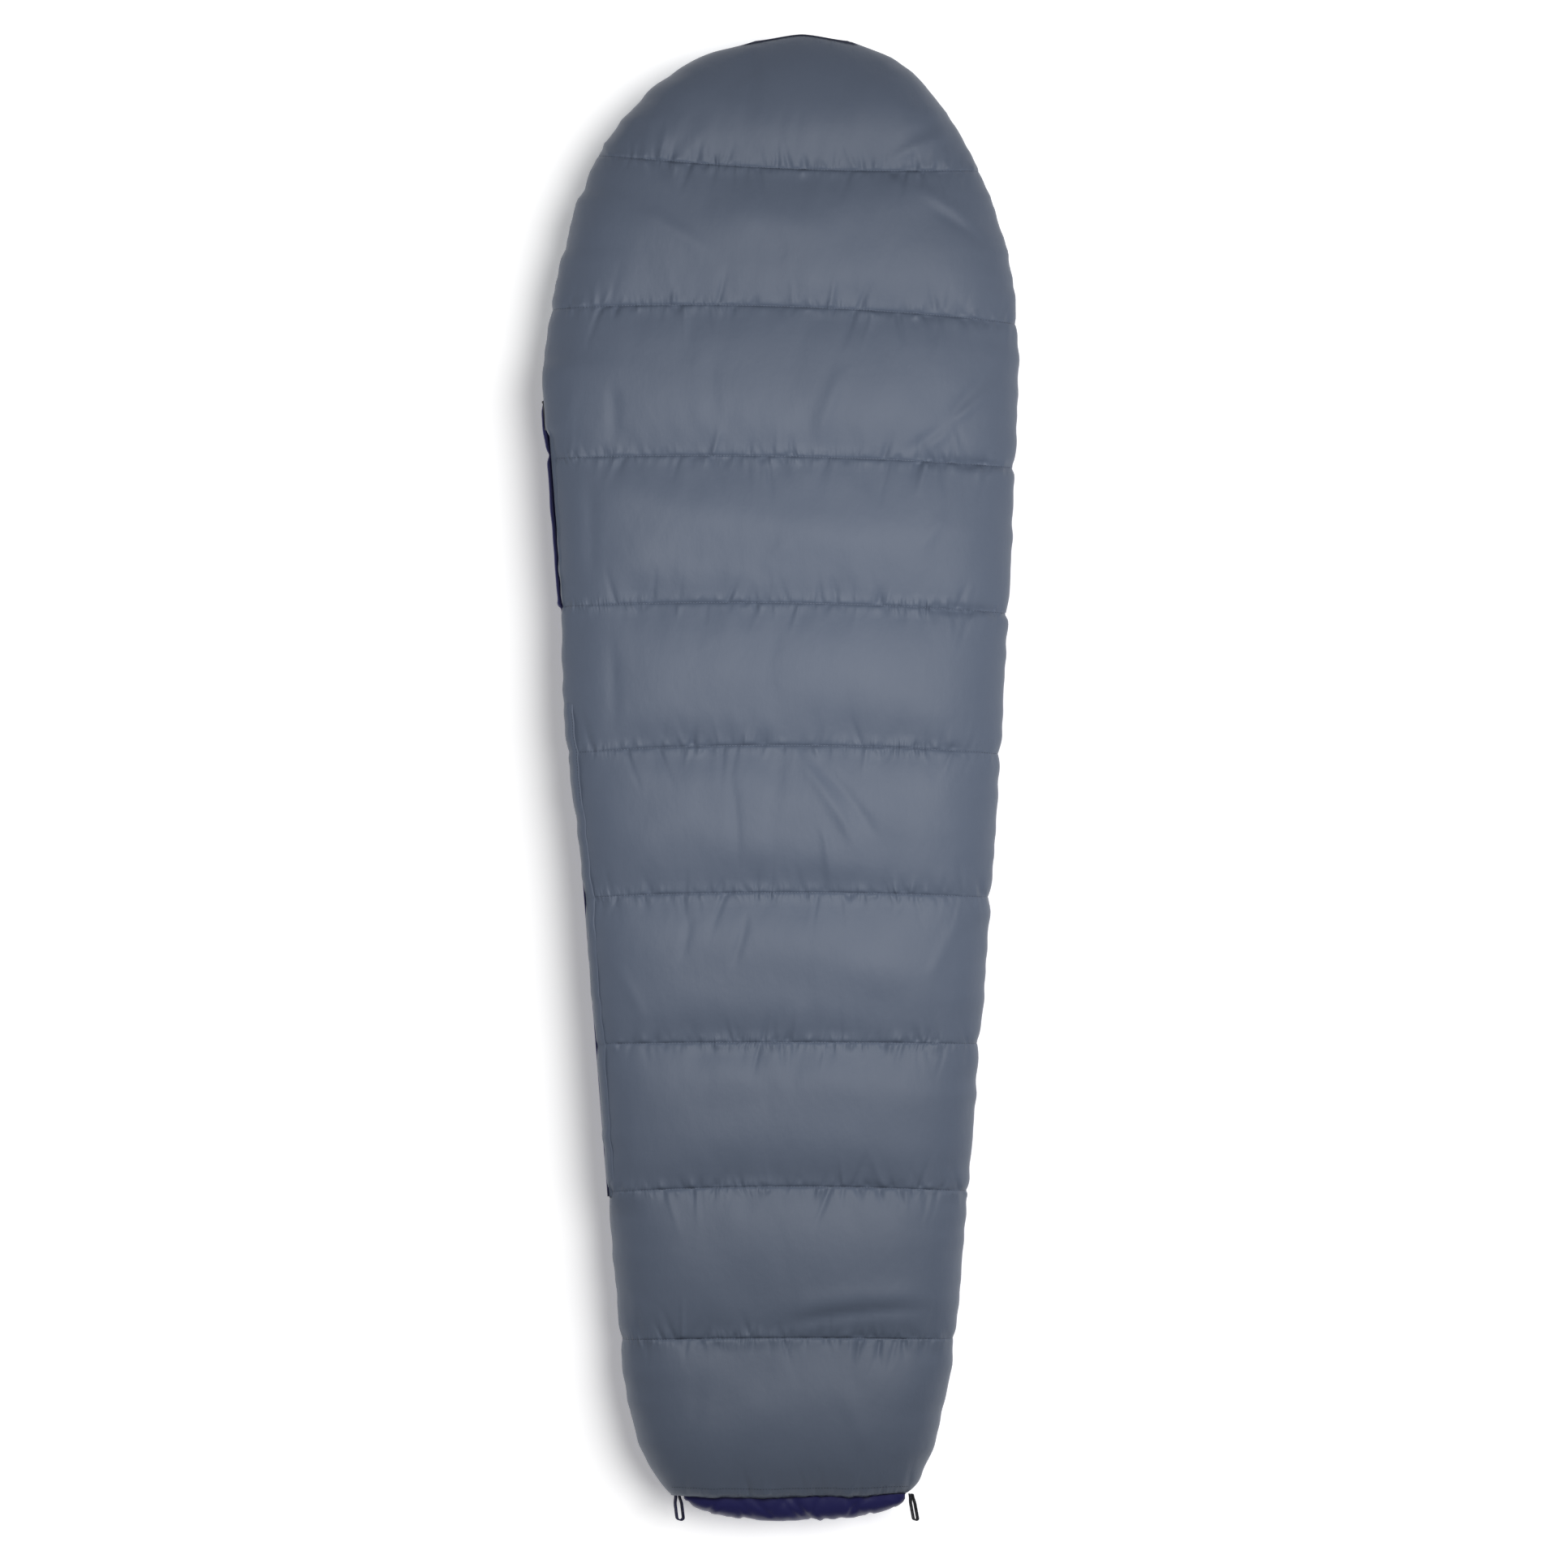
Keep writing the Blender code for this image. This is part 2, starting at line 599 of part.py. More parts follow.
def zip_slider():
    plate = (SLIDER_PLATE, SLIDER_LENGTH, SLIDER_HEIGHT)
    slider = box("zip_slider", plate, beside_zip(SLIDER_Y, PLATE_OUT, 0), SLIDER_METAL, ZIP_TURN)
    inner = box("slider_inner_plate", plate, beside_zip(SLIDER_Y, -PLATE_OUT, 0), None, ZIP_TURN)
    post_size = (2 * PLATE_OUT, SLIDER_LENGTH / 3, SLIDER_POST)
    post = box("slider_post", post_size, beside_zip(SLIDER_Y, 0, 0), None, ZIP_TURN)
    combine(slider, post, "UNION")
    combine(slider, inner, "UNION")
    lug_depth = PULL_STANDOFF + LUG_SIZE / 2 + LUG_BITE
    lug_out = FACE_OUT - LUG_BITE + lug_depth / 2
    for side, word in ((1, "upper"), (-1, "lower")):
        height = side * (LUG_GAP + LUG_THICKNESS) / 2
        lug = box(
            f"slider_{word}_lug", (lug_depth, LUG_SIZE, LUG_THICKNESS),
            beside_zip(SLIDER_Y, lug_out, height), None, ZIP_TURN,
        )
        combine(slider, lug, "UNION")
    pin = cylinder(
        "slider_pin", PULL_PIN_RADIUS, LUG_GAP + LUG_THICKNESS,
        beside_zip(SLIDER_Y, PIN_OUT, 0), (0, 0, 1), segments=12,
    )
    combine(slider, pin, "UNION")


def pull_tab():
    pin = beside_zip(SLIDER_Y, PIN_OUT, 0)
    eye = cylinder("pull_tab", PULL_EYE_RADIUS, PULL_NECK, pin, (0, 0, 1), SLIDER_METAL, 16)
    neck_y = SLIDER_Y - PULL_EYE_RADIUS - LUG_SIZE / 2
    neck = box(
        "pull_neck", (PULL_THICKNESS, 2 * (SLIDER_Y - neck_y), PULL_NECK),
        beside_zip(neck_y, PIN_OUT, 0), None, ZIP_TURN,
    )
    blade_top = SLIDER_Y - PULL_EYE_RADIUS - LUG_SIZE
    blade = box(
        "pull_blade", (PULL_THICKNESS, PULL_LENGTH, PULL_WIDTH),
        beside_zip(blade_top - PULL_LENGTH / 2, PIN_OUT, 0), None, ZIP_TURN,
    )
    combine(eye, neck, "UNION")
    combine(eye, blade, "UNION")
    bore = cylinder(
        "pull_bore", PULL_PIN_RADIUS + TOUCH_GAP, 2 * PULL_WIDTH, pin, (0, 0, 1), segments=16
    )
    combine(eye, bore, "DIFFERENCE")


zip_slider()
pull_tab()


# ---------------------------------------------------------------- hood drawcord
TUNNEL_START = math.radians(10)
TUNNEL_END = math.radians(156)
TUNNEL_STEPS = 22
TUNNEL_INWARD = TUNNEL_INNER_RADIUS + CLOTH + LAYER_GAP
CORD_LINE_Y = BAND_Y + CORD_LINE_FROM_NECK - NECK_GAP
CORD_BENDS = ((-0.002, 0.020), (0.003, 0.006), (0.015, 0.0), (0.030, 0.0))  # from below the exit
CORD_PAST_LOCK = 0.050
SEWN_END = math.radians(3)  # of the tunnel before the cord's sewn end


def along_tunnel(angle):
    point = face_edge(angle, TUNNEL_INWARD)
    return Vector((point.x, point.y, CORD_HEIGHT))


def tunnel_angle(share):
    return TUNNEL_START + (TUNNEL_END - TUNNEL_START) * share


def drawcord_tunnel():
    """Open tube of cloth on the face band's inner edge, made a pipe by its thickness."""
    points = [along_tunnel(tunnel_angle(step / TUNNEL_STEPS)) for step in range(TUNNEL_STEPS + 1)]
    drawn = rod("tunnel_line", points, TUNNEL_INNER_RADIUS, None)
    drawn.data.use_fill_caps = False
    graph = bpy.context.evaluated_depsgraph_get()
    mesh = bpy.data.meshes.new_from_object(drawn.evaluated_get(graph))
    bpy.data.objects.remove(drawn, do_unlink=True)
    mesh.materials.clear()
    tunnel = add("drawcord_tunnel", mesh, GREY_TAFFETA)
    skin = tunnel.modifiers.new("cloth", "SOLIDIFY")
    skin.thickness = CLOTH
    skin.offset = 1.0
    return tunnel


def curve_through(points, steps):
    """Smooth curve through points, read at steps places between each two."""
    ends = [2 * points[0] - points[1]] + points + [2 * points[-1] - points[-2]]
    read = []
    for a, b, c, d in zip(ends, ends[1:], ends[2:], ends[3:]):
        for step in range(steps):
            t = step / steps
            read.append(
                0.5 * (2 * b + (c - a) * t + (2 * a - 5 * b + 4 * c - d) * t * t
                       + (3 * b - a - 3 * c + d) * t ** 3)
            )
    return read + [points[-1]]


def drawcord_route():
    """From its sewn end in the tunnel, round the face opening, to its free end past the lock."""
    first = TUNNEL_START + SEWN_END
    held = [
        along_tunnel(first + (TUNNEL_END - first) * step / TUNNEL_STEPS)
        for step in range(TUNNEL_STEPS + 1)
    ]
    free = [
        Vector((held[-1].x + right, CORD_LINE_Y + up, CORD_HEIGHT)) for right, up in CORD_BENDS
    ]
    free += [
        Vector((LOCK_X, CORD_LINE_Y, CORD_HEIGHT)),
        Vector((LOCK_X + CORD_PAST_LOCK, CORD_LINE_Y, CORD_HEIGHT)),
    ]
    return held[:-1] + curve_through([held[-1]] + free, 3)


drawcord_tunnel()
rod("hood_drawcord", drawcord_route(), CORD_RADIUS, CORD_BRAID)

LOCK_END_Y = CORD_LINE_Y - 0.0160
LOCK_MOUTH_Y = LOCK_END_Y + LOCK_LENGTH
BORE_RADIUS = LOCK_RADIUS - LOCK_WALL
BORE_FLOOR_Y = LOCK_MOUTH_Y - LOCK_BORE_DEPTH
BUTTON_TOP_Y = LOCK_MOUTH_Y + BUTTON_STANDS_OUT
SPRING_SOLID_HEIGHT = 0.0028
BUTTON_FLOOR_Y = BORE_FLOOR_Y + 2 * TOUCH_GAP + SPRING_SOLID_HEIGHT + BUTTON_TRAVEL
CORD_HOLE_RADIUS = CORD_RADIUS + 0.0006
HIGH_SLOT_Y = CORD_LINE_Y + CORD_HOLE_RADIUS + BUTTON_TRAVEL
LOW_SLOT_Y = CORD_LINE_Y - CORD_HOLE_RADIUS


def cord_lock():
    y_axis = (0, 1, 0)

    def turned(name, radius, low, high, look=None):
        centre = (LOCK_X, (low + high) / 2, CORD_HEIGHT)
        return cylinder(name, radius, high - low, centre, y_axis, look)

    body = turned("cord_lock_body", LOCK_RADIUS, LOCK_END_Y, LOCK_MOUTH_Y, LOCK_PLASTIC)
    bore = turned("lock_bore", BORE_RADIUS, BORE_FLOOR_Y, LOCK_MOUTH_Y + LOCK_WALL)
    cord_hole = cylinder(
        "lock_cord_hole", CORD_HOLE_RADIUS, 3 * LOCK_RADIUS,
        (LOCK_X, CORD_LINE_Y, CORD_HEIGHT), (1, 0, 0), segments=12,
    )
    combine(body, bore, "DIFFERENCE")
    combine(body, cord_hole, "DIFFERENCE")
    button = turned(
        "cord_lock_button", BORE_RADIUS - TOUCH_GAP, BUTTON_FLOOR_Y, BUTTON_TOP_Y, LOCK_PLASTIC
    )
    slot = box(
        "button_slot", (3 * LOCK_RADIUS, HIGH_SLOT_Y - LOW_SLOT_Y, 2 * CORD_HOLE_RADIUS),
        (LOCK_X, (HIGH_SLOT_Y + LOW_SLOT_Y) / 2, CORD_HEIGHT),
    )
    combine(button, slot, "DIFFERENCE")
    spring_centre = BORE_FLOOR_Y + TOUCH_GAP + SPRING_SOLID_HEIGHT / 2
    wire = SPRING_SOLID_HEIGHT / 8
    turns, per_turn = 3, 12
    mean_radius = BORE_RADIUS - 3 * wire
    climb = SPRING_SOLID_HEIGHT - 2 * wire
    points = []
    for step in range(turns * per_turn + 1):
        angle = 2 * math.pi * step / per_turn
        lift = climb * (step / (turns * per_turn) - 0.5)
        points.append(
            (LOCK_X + mean_radius * math.cos(angle), spring_centre + lift,
             CORD_HEIGHT + mean_radius * math.sin(angle))
        )
    rod("cord_lock_spring", points, wire, SPRING_STEEL, 1)


cord_lock()

# Eyelet where the cord leaves the tunnel.
EYELET_TUBE = 0.0008
eyelet_at = along_tunnel(TUNNEL_END)
eyelet_along = (along_tunnel(TUNNEL_END) - along_tunnel(TUNNEL_END - 0.05)).normalized()
bpy.ops.mesh.primitive_torus_add(
    major_segments=16, minor_segments=6,
    major_radius=CORD_RADIUS + TOUCH_GAP + 2 * EYELET_TUBE, minor_radius=EYELET_TUBE,
    location=eyelet_at + eyelet_along * (EYELET_TUBE + 3 * TOUCH_GAP),
)
eyelet = bpy.context.object
eyelet.name = "cord_eyelet"
eyelet.rotation_mode = "QUATERNION"
eyelet.rotation_quaternion = eyelet_along.to_track_quat("Z", "Y")
eyelet.data.materials.append(SLIDER_METAL)
for holder in list(eyelet.users_collection):
    holder.objects.unlink(eyelet)
BAG.objects.link(eyelet)


# ---------------------------------------------------------------- hanging loops at the foot
def rounded_slot(curve, half_width, low, high, steps=8):
    """Closed outline with straight sides and a round lower end, added to curve."""
    points = [(half_width, high), (-half_width, high)]
    for step in range(steps + 1):
        angle = math.pi + math.pi * step / steps
        points.append(
            (half_width * math.cos(angle), low + half_width + half_width * math.sin(angle))
        )
    spline = curve.splines.new("POLY")
    spline.points.add(len(points) - 1)
    for target, (x, y) in zip(spline.points, points):
        target.co = (x, y, 0.0, 1.0)
    spline.use_cyclic_u = True


def hanging_loop(name, x, look):
    """Folded webbing, its eye seen from above, hung from the end of the hem."""
    curve = bpy.data.curves.new(name, "CURVE")
    curve.dimensions = "2D"
    curve.fill_mode = "BOTH"
    curve.extrude = LOOP_HEIGHT / 2
    rounded_slot(curve, LOOP_WIDTH / 2, -LOOP_LENGTH, 0.0)
    rounded_slot(curve, LOOP_WIDTH / 2 - LOOP_WEBBING, LOOP_WEBBING - LOOP_LENGTH, -LOOP_WEBBING)
    made = add(name, curve, look)
    made.location = (x, HEM_Y - FOOT_BOX_GAP, MIDDLE_Z)


LOOP_FROM_FOOT_BOX = 0.003
loop_out = LOOP_WIDTH / 2 + LOOP_FROM_FOOT_BOX
hanging_loop("left_hanging_loop", FOOT_BOX_LEFT - loop_out, NAVY_TAFFETA)
hanging_loop("right_hanging_loop", FOOT_BOX_RIGHT + loop_out, WEBBING)


# ---------------------------------------------------------------- joints
def hang_on(joint_name, place, names, parent=None):
    """Empty on a joint's axis that carries the named pieces, which keep their places."""
    joint = bpy.data.objects.new(joint_name, None)
    joint.empty_display_size = 0.05
    BAG.objects.link(joint)
    world = Matrix.Translation(Vector(place))
    joint.matrix_world = world
    if parent is not None:
        joint.parent = parent
        joint.matrix_parent_inverse = Matrix.Translation(parent.location).inverted()
    for name in names:
        piece = bpy.data.objects[name]
        piece.parent = joint
        piece.matrix_parent_inverse = world.inverted()
    return joint


BACK_PIECES = [
    "back_outer_shell", "back_insulation", "back_liner", "hood_band_outer_shell",
    "hood_band_insulation", "hood_band_liner", "back_right_gusset", "back_left_gusset",
    "hood_gusset", "back_zip_tape", "back_zip_coil", "back_zip_facing", "draft_tube",
    "drawcord_tunnel", "hood_drawcord", "cord_eyelet",
]
seam_foot = on_seam(HEM_Y)
back_joint = hang_on("back_opens", (seam_foot.x, seam_foot.y, MIDDLE_Z), BACK_PIECES)
slider_joint = hang_on("slider_runs", beside_zip(SLIDER_Y, 0, 0), ["zip_slider"])
hang_on("pull_swings", beside_zip(SLIDER_Y, PIN_OUT, 0), ["pull_tab"], slider_joint)
tab_hinge = on_zip(TAB_LOW_Y, TAB_OUT)
hang_on(
    "tab_lifts", (tab_hinge.x, tab_hinge.y, MIDDLE_Z + TAB_REACH), ["closing_tab"], back_joint
)
lock_joint = hang_on(
    "lock_runs", (LOCK_X, CORD_LINE_Y, CORD_HEIGHT), ["cord_lock_body", "cord_lock_spring"],
    back_joint,
)
hang_on("button_presses", (LOCK_X, BUTTON_TOP_Y, CORD_HEIGHT), ["cord_lock_button"], lock_joint)
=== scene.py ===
import math
import random

import bmesh
import bpy
import numpy as np
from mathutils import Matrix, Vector


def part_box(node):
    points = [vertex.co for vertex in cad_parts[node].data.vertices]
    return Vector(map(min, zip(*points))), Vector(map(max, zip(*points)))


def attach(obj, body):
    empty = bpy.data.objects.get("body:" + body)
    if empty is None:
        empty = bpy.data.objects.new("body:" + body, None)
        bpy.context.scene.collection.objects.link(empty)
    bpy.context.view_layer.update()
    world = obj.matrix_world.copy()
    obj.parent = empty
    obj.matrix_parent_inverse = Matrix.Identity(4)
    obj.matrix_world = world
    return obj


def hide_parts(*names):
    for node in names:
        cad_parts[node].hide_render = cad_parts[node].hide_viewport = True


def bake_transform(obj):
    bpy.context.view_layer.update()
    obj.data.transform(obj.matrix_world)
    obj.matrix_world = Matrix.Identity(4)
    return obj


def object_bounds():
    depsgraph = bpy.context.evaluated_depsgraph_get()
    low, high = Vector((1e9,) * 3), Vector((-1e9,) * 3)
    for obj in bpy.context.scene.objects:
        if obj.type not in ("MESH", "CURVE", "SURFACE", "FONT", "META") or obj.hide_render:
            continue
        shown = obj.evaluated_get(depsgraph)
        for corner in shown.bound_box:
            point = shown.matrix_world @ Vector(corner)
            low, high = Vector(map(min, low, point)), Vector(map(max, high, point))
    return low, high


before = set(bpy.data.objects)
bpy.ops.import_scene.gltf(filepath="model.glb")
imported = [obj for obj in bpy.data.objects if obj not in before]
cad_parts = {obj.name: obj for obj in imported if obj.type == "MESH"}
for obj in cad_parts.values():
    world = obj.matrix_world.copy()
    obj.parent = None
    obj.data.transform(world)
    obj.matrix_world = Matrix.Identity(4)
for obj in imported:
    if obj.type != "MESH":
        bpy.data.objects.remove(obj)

cad_low, cad_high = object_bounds()

# ---------------------------------------------------------------- camera and colour
FIELD = 2.322
CAMERA_HEIGHT = 12.0
SENSOR = 36.0

camera_data = bpy.data.cameras.new("camera")
camera_data.sensor_width = SENSOR
camera_data.lens = SENSOR * (CAMERA_HEIGHT - cad_high.z / 2) / FIELD
camera = bpy.data.objects.new("camera", camera_data)
camera.location = (0.0036, -0.009, CAMERA_HEIGHT)
bpy.context.scene.collection.objects.link(camera)
bpy.context.scene.camera = camera
bpy.context.scene.view_settings.view_transform = "Standard"

# ---------------------------------------------------------------- the bag's own measures
back_low, back_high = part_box("back_outer_shell")
front_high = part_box("front_outer_shell")[1]
gusset_low, gusset_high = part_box("hood_gusset")
HEM, CROWN, NECK = back_low.y, back_high.y, front_high.y
TOP, MIDDLE = back_high.z, (gusset_low.z + gusset_high.z) / 2
SHOULDER_HALF = front_high.x
FOOT_HALF = 0.243
FOOT_START = HEM + 0.200
FOOT_CORNER = 0.286
FOOT_LEAN = 0.009
RIGHT_FULLNESS = 0.45
HOOD_RADIUS = 0.512
QUILT_PITCH = 0.2163
FIRST_SEAM = CROWN - 0.197
SEAM_COUNT = 9
BORDERS = np.array(
    [HEM] + [FIRST_SEAM - QUILT_PITCH * k for k in reversed(range(SEAM_COUNT))] + [CROWN]
)
ZIP_LOW, ZIP_HIGH = (corner.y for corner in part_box("back_zip_tape"))

# How each border drifts from straight, foot to hood: at the middle, its tilt and its bow.
DRIFT = np.array([
    (0, 0, 0), (1.5, 0.6, -3.5), (8.5, 0.5, -8), (5, 0, -2.7), (9.6, 0, -7.2),
    (10.5, -0.6, -12), (4, -4.8, -9.8), (3.8, -6.6, -9), (8.6, -10.7, -13.3),
    (-4.5, -11.5, 10), (0, 0, 0),
]) / 1000


def edge(y, side):
    """X of the left side (-1) or the right side (1) at each y."""
    y = np.asarray(y, float)
    share = np.clip((y - FOOT_START) / (NECK - FOOT_START), 0, 1)
    rise = np.clip((y - NECK) / HOOD_RADIUS, 0, 1)
    fall = np.clip((FOOT_START - y) / FOOT_CORNER, 0, 1)
    fullness = RIGHT_FULLNESS if side > 0 else 0.0
    swell = (1 - fullness) * share + fullness * np.sin(math.pi / 2 * share)
    half = FOOT_HALF + (SHOULDER_HALF - FOOT_HALF) * swell
    half = half * np.sqrt(1 - rise ** 2) * np.sqrt(1 - fall ** 2)
    return side * half + FOOT_LEAN * (1 - share)


def left_edge(y):
    return float(edge(y, -1))


def right_edge(y):
    return float(edge(y, 1))


def chamber(y, borders=BORDERS):
    """Which chamber each y is in, the share of the way up it, and its length."""
    index = np.clip(np.searchsorted(borders, y, "right") - 1, 0, len(borders) - 2)
    low, high = borders[index], borders[index + 1]
    return index, (y - low) / (high - low), high - low


def from_seam(y, borders=BORDERS):
    """Distance from the nearest border."""
    _, share, length = chamber(y, borders)
    return np.minimum(share, 1 - share) * length


def drift(y, u):
    """How far a point moves along the bag because its seams aren't straight."""
    middle, tilt, bow = (np.interp(y, BORDERS, DRIFT[:, k]) for k in range(3))
    return middle + tilt * u + bow * u * u


def waves(y, seed, count=7, longest=0.30, shortest=0.030):
    """Small uneven waves along a line, from -1 to 1 or so."""
    dice = random.Random(seed)
    total = np.zeros_like(np.asarray(y, float))
    for k in range(count):
        length = longest * (shortest / longest) ** (k / (count - 1))
        total += dice.uniform(0.4, 1.0) * np.sin(
            2 * math.pi * (y / length + dice.random())
        ) * (length / longest) ** 0.4
    return total / math.sqrt(count)


def ease(t):
    t = np.clip(t, 0, 1)
    return t * t * (3 - 2 * t)


# ---------------------------------------------------------------- materials
class Value:
    """A shader socket that can stand in sums and products."""

    def __init__(self, look, socket):
        self.look, self.socket = look, socket

    def maths(self, operation, other=0.0, turned=False):
        first, second = (other, self) if turned else (self, other)
        return self.look.node("ShaderNodeMath", {"operation": operation}, {0: first, 1: second})

    def __add__(self, other):
        return self.maths("ADD", other)

    def __sub__(self, other):
        return self.maths("SUBTRACT", other)

    def __rsub__(self, other):
        return self.maths("SUBTRACT", other, True)

    def __mul__(self, other):
        return self.maths("MULTIPLY", other)

    def __abs__(self):
        return self.maths("ABSOLUTE")

    def sine(self):
        return self.maths("SINE")

    def clamped(self):
        return self.look.node("ShaderNodeClamp", {}, {0: self})

    __radd__, __rmul__ = __add__, __mul__


class Look:
    """A material, built by asking for one node at a time."""

    def __init__(self, name, roughness, metallic=0.0, specular=0.5, sheen=0.0, coat=0.0):
        self.material = bpy.data.materials.new(name)
        self.material.use_nodes = True
        self.tree = self.material.node_tree
        self.shader = self.tree.nodes["Principled BSDF"]
        for socket, number in (
            ("Roughness", roughness), ("Metallic", metallic),
            ("Specular IOR Level", specular), ("Sheen Weight", sheen),
            ("Sheen Roughness", 0.4), ("Coat Weight", coat),
        ):
            self.shader.inputs[socket].default_value = number
        self.place = self.node("ShaderNodeTexCoord", output="Object")
        self.x, self.y, self.z = self.axes(self.place)

    def node(self, kind, settings=None, inputs=None, output=0):
        made = self.tree.nodes.new(kind)
        for key, value in (settings or {}).items():
            setattr(made, key, value)
        for key, value in (inputs or {}).items():
            self.feed(made.inputs[key], value)
        return Value(self, made.outputs[output])

    def feed(self, socket, value):
        if isinstance(value, Value):
            self.tree.links.new(value.socket, socket)
        else:
            socket.default_value = value

    def axes(self, vector):
        return [
            self.node("ShaderNodeSeparateXYZ", {}, {0: vector}, axis) for axis in range(3)
        ]

    def vector(self, x, y, z):
        return self.node("ShaderNodeCombineXYZ", {}, {0: x, 1: y, 2: z})

    def noise(self, vector, scale, detail=2.0, roughness=0.5):
        return self.node(
            "ShaderNodeTexNoise", {},
            {"Vector": vector, "Scale": scale, "Detail": detail, "Roughness": roughness},
        )

    def mix(self, factor, first, second):
        return self.node(
            "ShaderNodeMix", {"data_type": "RGBA"}, {0: factor, 6: first, 7: second}, 2
        )

    def bump(self, height, distance, normal=None, strength=1.0):
        inputs = {"Height": height, "Distance": distance, "Strength": strength}
        if normal is not None:
            inputs["Normal"] = normal
        return self.node("ShaderNodeBump", {}, inputs)

    def finish(self, colour, normal=None, roughness=None):
        self.feed(self.shader.inputs["Base Color"], colour)
        if normal is not None:
            self.feed(self.shader.inputs["Normal"], normal)
        if roughness is not None:
            self.feed(self.shader.inputs["Roughness"], roughness)
        return self.material


def shade(colour, share):
    return (*(channel * share for channel in colour), 1.0)


def taffeta(name, colour, roughness, sheen, crinkle, specular=0.4):
    """Smooth plain-woven cloth: fine weave, soft crinkles, and ticks beside its seams."""
    look = Look(name, roughness, specular=specular, sheen=sheen)
    along, beside, _ = look.axes(look.node("ShaderNodeUVMap", {"uv_map": "cloth"}))
    cloudy = look.noise(look.place, 3.5, 3.0)
    slubs = look.noise(look.vector(look.x * 60.0, look.y * 900.0, look.z * 60.0), 1.0)
    tone = look.mix(cloudy, shade(colour, 0.93), shade(colour, 1.07))
    tone = look.mix(slubs * 0.35, tone, shade(colour, 0.90))
    weave = (look.x * 5200.0).sine() * (look.y * 5200.0).sine()
    normal = look.bump(weave, 0.00003)
    soft = look.noise(look.vector(look.x, look.y * 0.6, look.z), 34.0, 4.0, 0.55)
    normal = look.bump(soft, 0.0011 * crinkle, normal)
    near = (1.0 - abs(beside) * 45.0).clamped()
    lean = look.noise(look.place, 9.0)
    ticks = look.noise(look.vector(along * 120.0 + lean * 6.0, beside * 22.0, 0.0), 1.0, 1.5)
    patch = look.noise(look.vector(along * 9.0, 0.0, look.y * 2.0), 1.0, 1.0)
    spread = ((patch - 0.35) * 3.0).clamped()
    normal = look.bump(ticks * near * near * spread, 0.0070 * crinkle, normal)
    worn = look.noise(look.place, 11.0, 2.0)
    return look.finish(tone, normal, roughness - 0.05 + worn * 0.10)


def woven(name, colour, pitch, roughness=0.8):
    """Tape or webbing: ribs across a herringbone."""
    look = Look(name, roughness, specular=0.3, sheen=0.1)
    rate = 2 * math.pi / pitch
    ribs = (look.y * rate).sine() * ((look.z + look.x) * rate).sine()
    patchy = look.noise(look.place, 70.0, 3.0)
    # Rib crests are painted lighter and the hollows between the ribs darker, following the bump:
    # painted shade of the ribs.
    tone = look.mix(ribs * 0.5 + 0.5, shade(colour, 0.75), shade(colour, 1.2))
    tone = look.mix(patchy * 0.4, tone, shade(colour, 0.6))
    return look.finish(tone, look.bump(ribs, pitch * 0.18))


def moulded(name, colour, roughness):
    """Plastic with a fine grain and rubbed places."""
    look = Look(name, roughness, specular=0.5)
    grain = look.noise(look.place, 1800.0, 3.0)
    rubbed = look.noise(look.place, 120.0, 2.0)
    tone = look.mix(rubbed * rubbed, shade(colour, 1.0), shade(colour, 1.7))
    return look.finish(tone, look.bump(grain, 0.00004), roughness - 0.08 + rubbed * 0.16)


def metal(name, colour, roughness):
    """Cast or drawn metal with brushed lines and duller worn spots."""
    look = Look(name, roughness, metallic=1.0)
    brushed = look.noise(look.vector(look.x * 900.0, look.y * 60.0, look.z * 900.0), 1.0, 2.0)
    spots = look.noise(look.place, 260.0, 3.0)
    tone = look.mix(spots, shade(colour, 0.8), shade(colour, 1.15))
    return look.finish(tone, look.bump(brushed, 0.00003), roughness - 0.1 + spots * 0.2)


def fuzzy(name, colour):
    """Hook-and-loop tape: short fibres all over."""
    look = Look(name, 0.95, specular=0.1, sheen=0.3)
    fibres = look.node("ShaderNodeTexVoronoi", {}, {"Vector": look.place, "Scale": 1300.0})
    tufts = look.noise(look.place, 300.0, 3.0)
    tone = look.mix(fibres, shade(colour, 1.5), shade(colour, 0.6))
    tone = look.mix(tufts * 0.5, tone, shade(colour, 0.7))
    return look.finish(tone, look.bump(fibres, 0.0003))


def braided(name, colour):
    """Round cord: two sets of strands that cross, along the cord's own length."""
    look = Look(name, 0.75, specular=0.3, sheen=0.15)
    round_it, along, _ = look.axes(look.node("ShaderNodeUVMap", {"uv_map": "cloth"}))
    one = (round_it * 25.132741 + along * 2400.0).sine()
    other = (round_it * 25.132741 - along * 2400.0).sine()
    strands = one * other
    # Raised strands are painted lighter and the gaps between them darker, following the bump:
    # painted shade between the strands.
    tone = look.mix(strands * 0.5 + 0.5, shade(colour, 0.6), shade(colour, 1.5))
    return look.finish(tone, look.bump(strands, 0.0003))


GREY = (0.150, 0.185, 0.258)
NAVY = (0.026, 0.026, 0.145)
SHELL_GREY = taffeta("shell_grey", GREY, 0.52, 0.12, 1.0)
SHELL_NAVY = taffeta("shell_navy", NAVY, 0.40, 0.10, 1.0, 0.5)
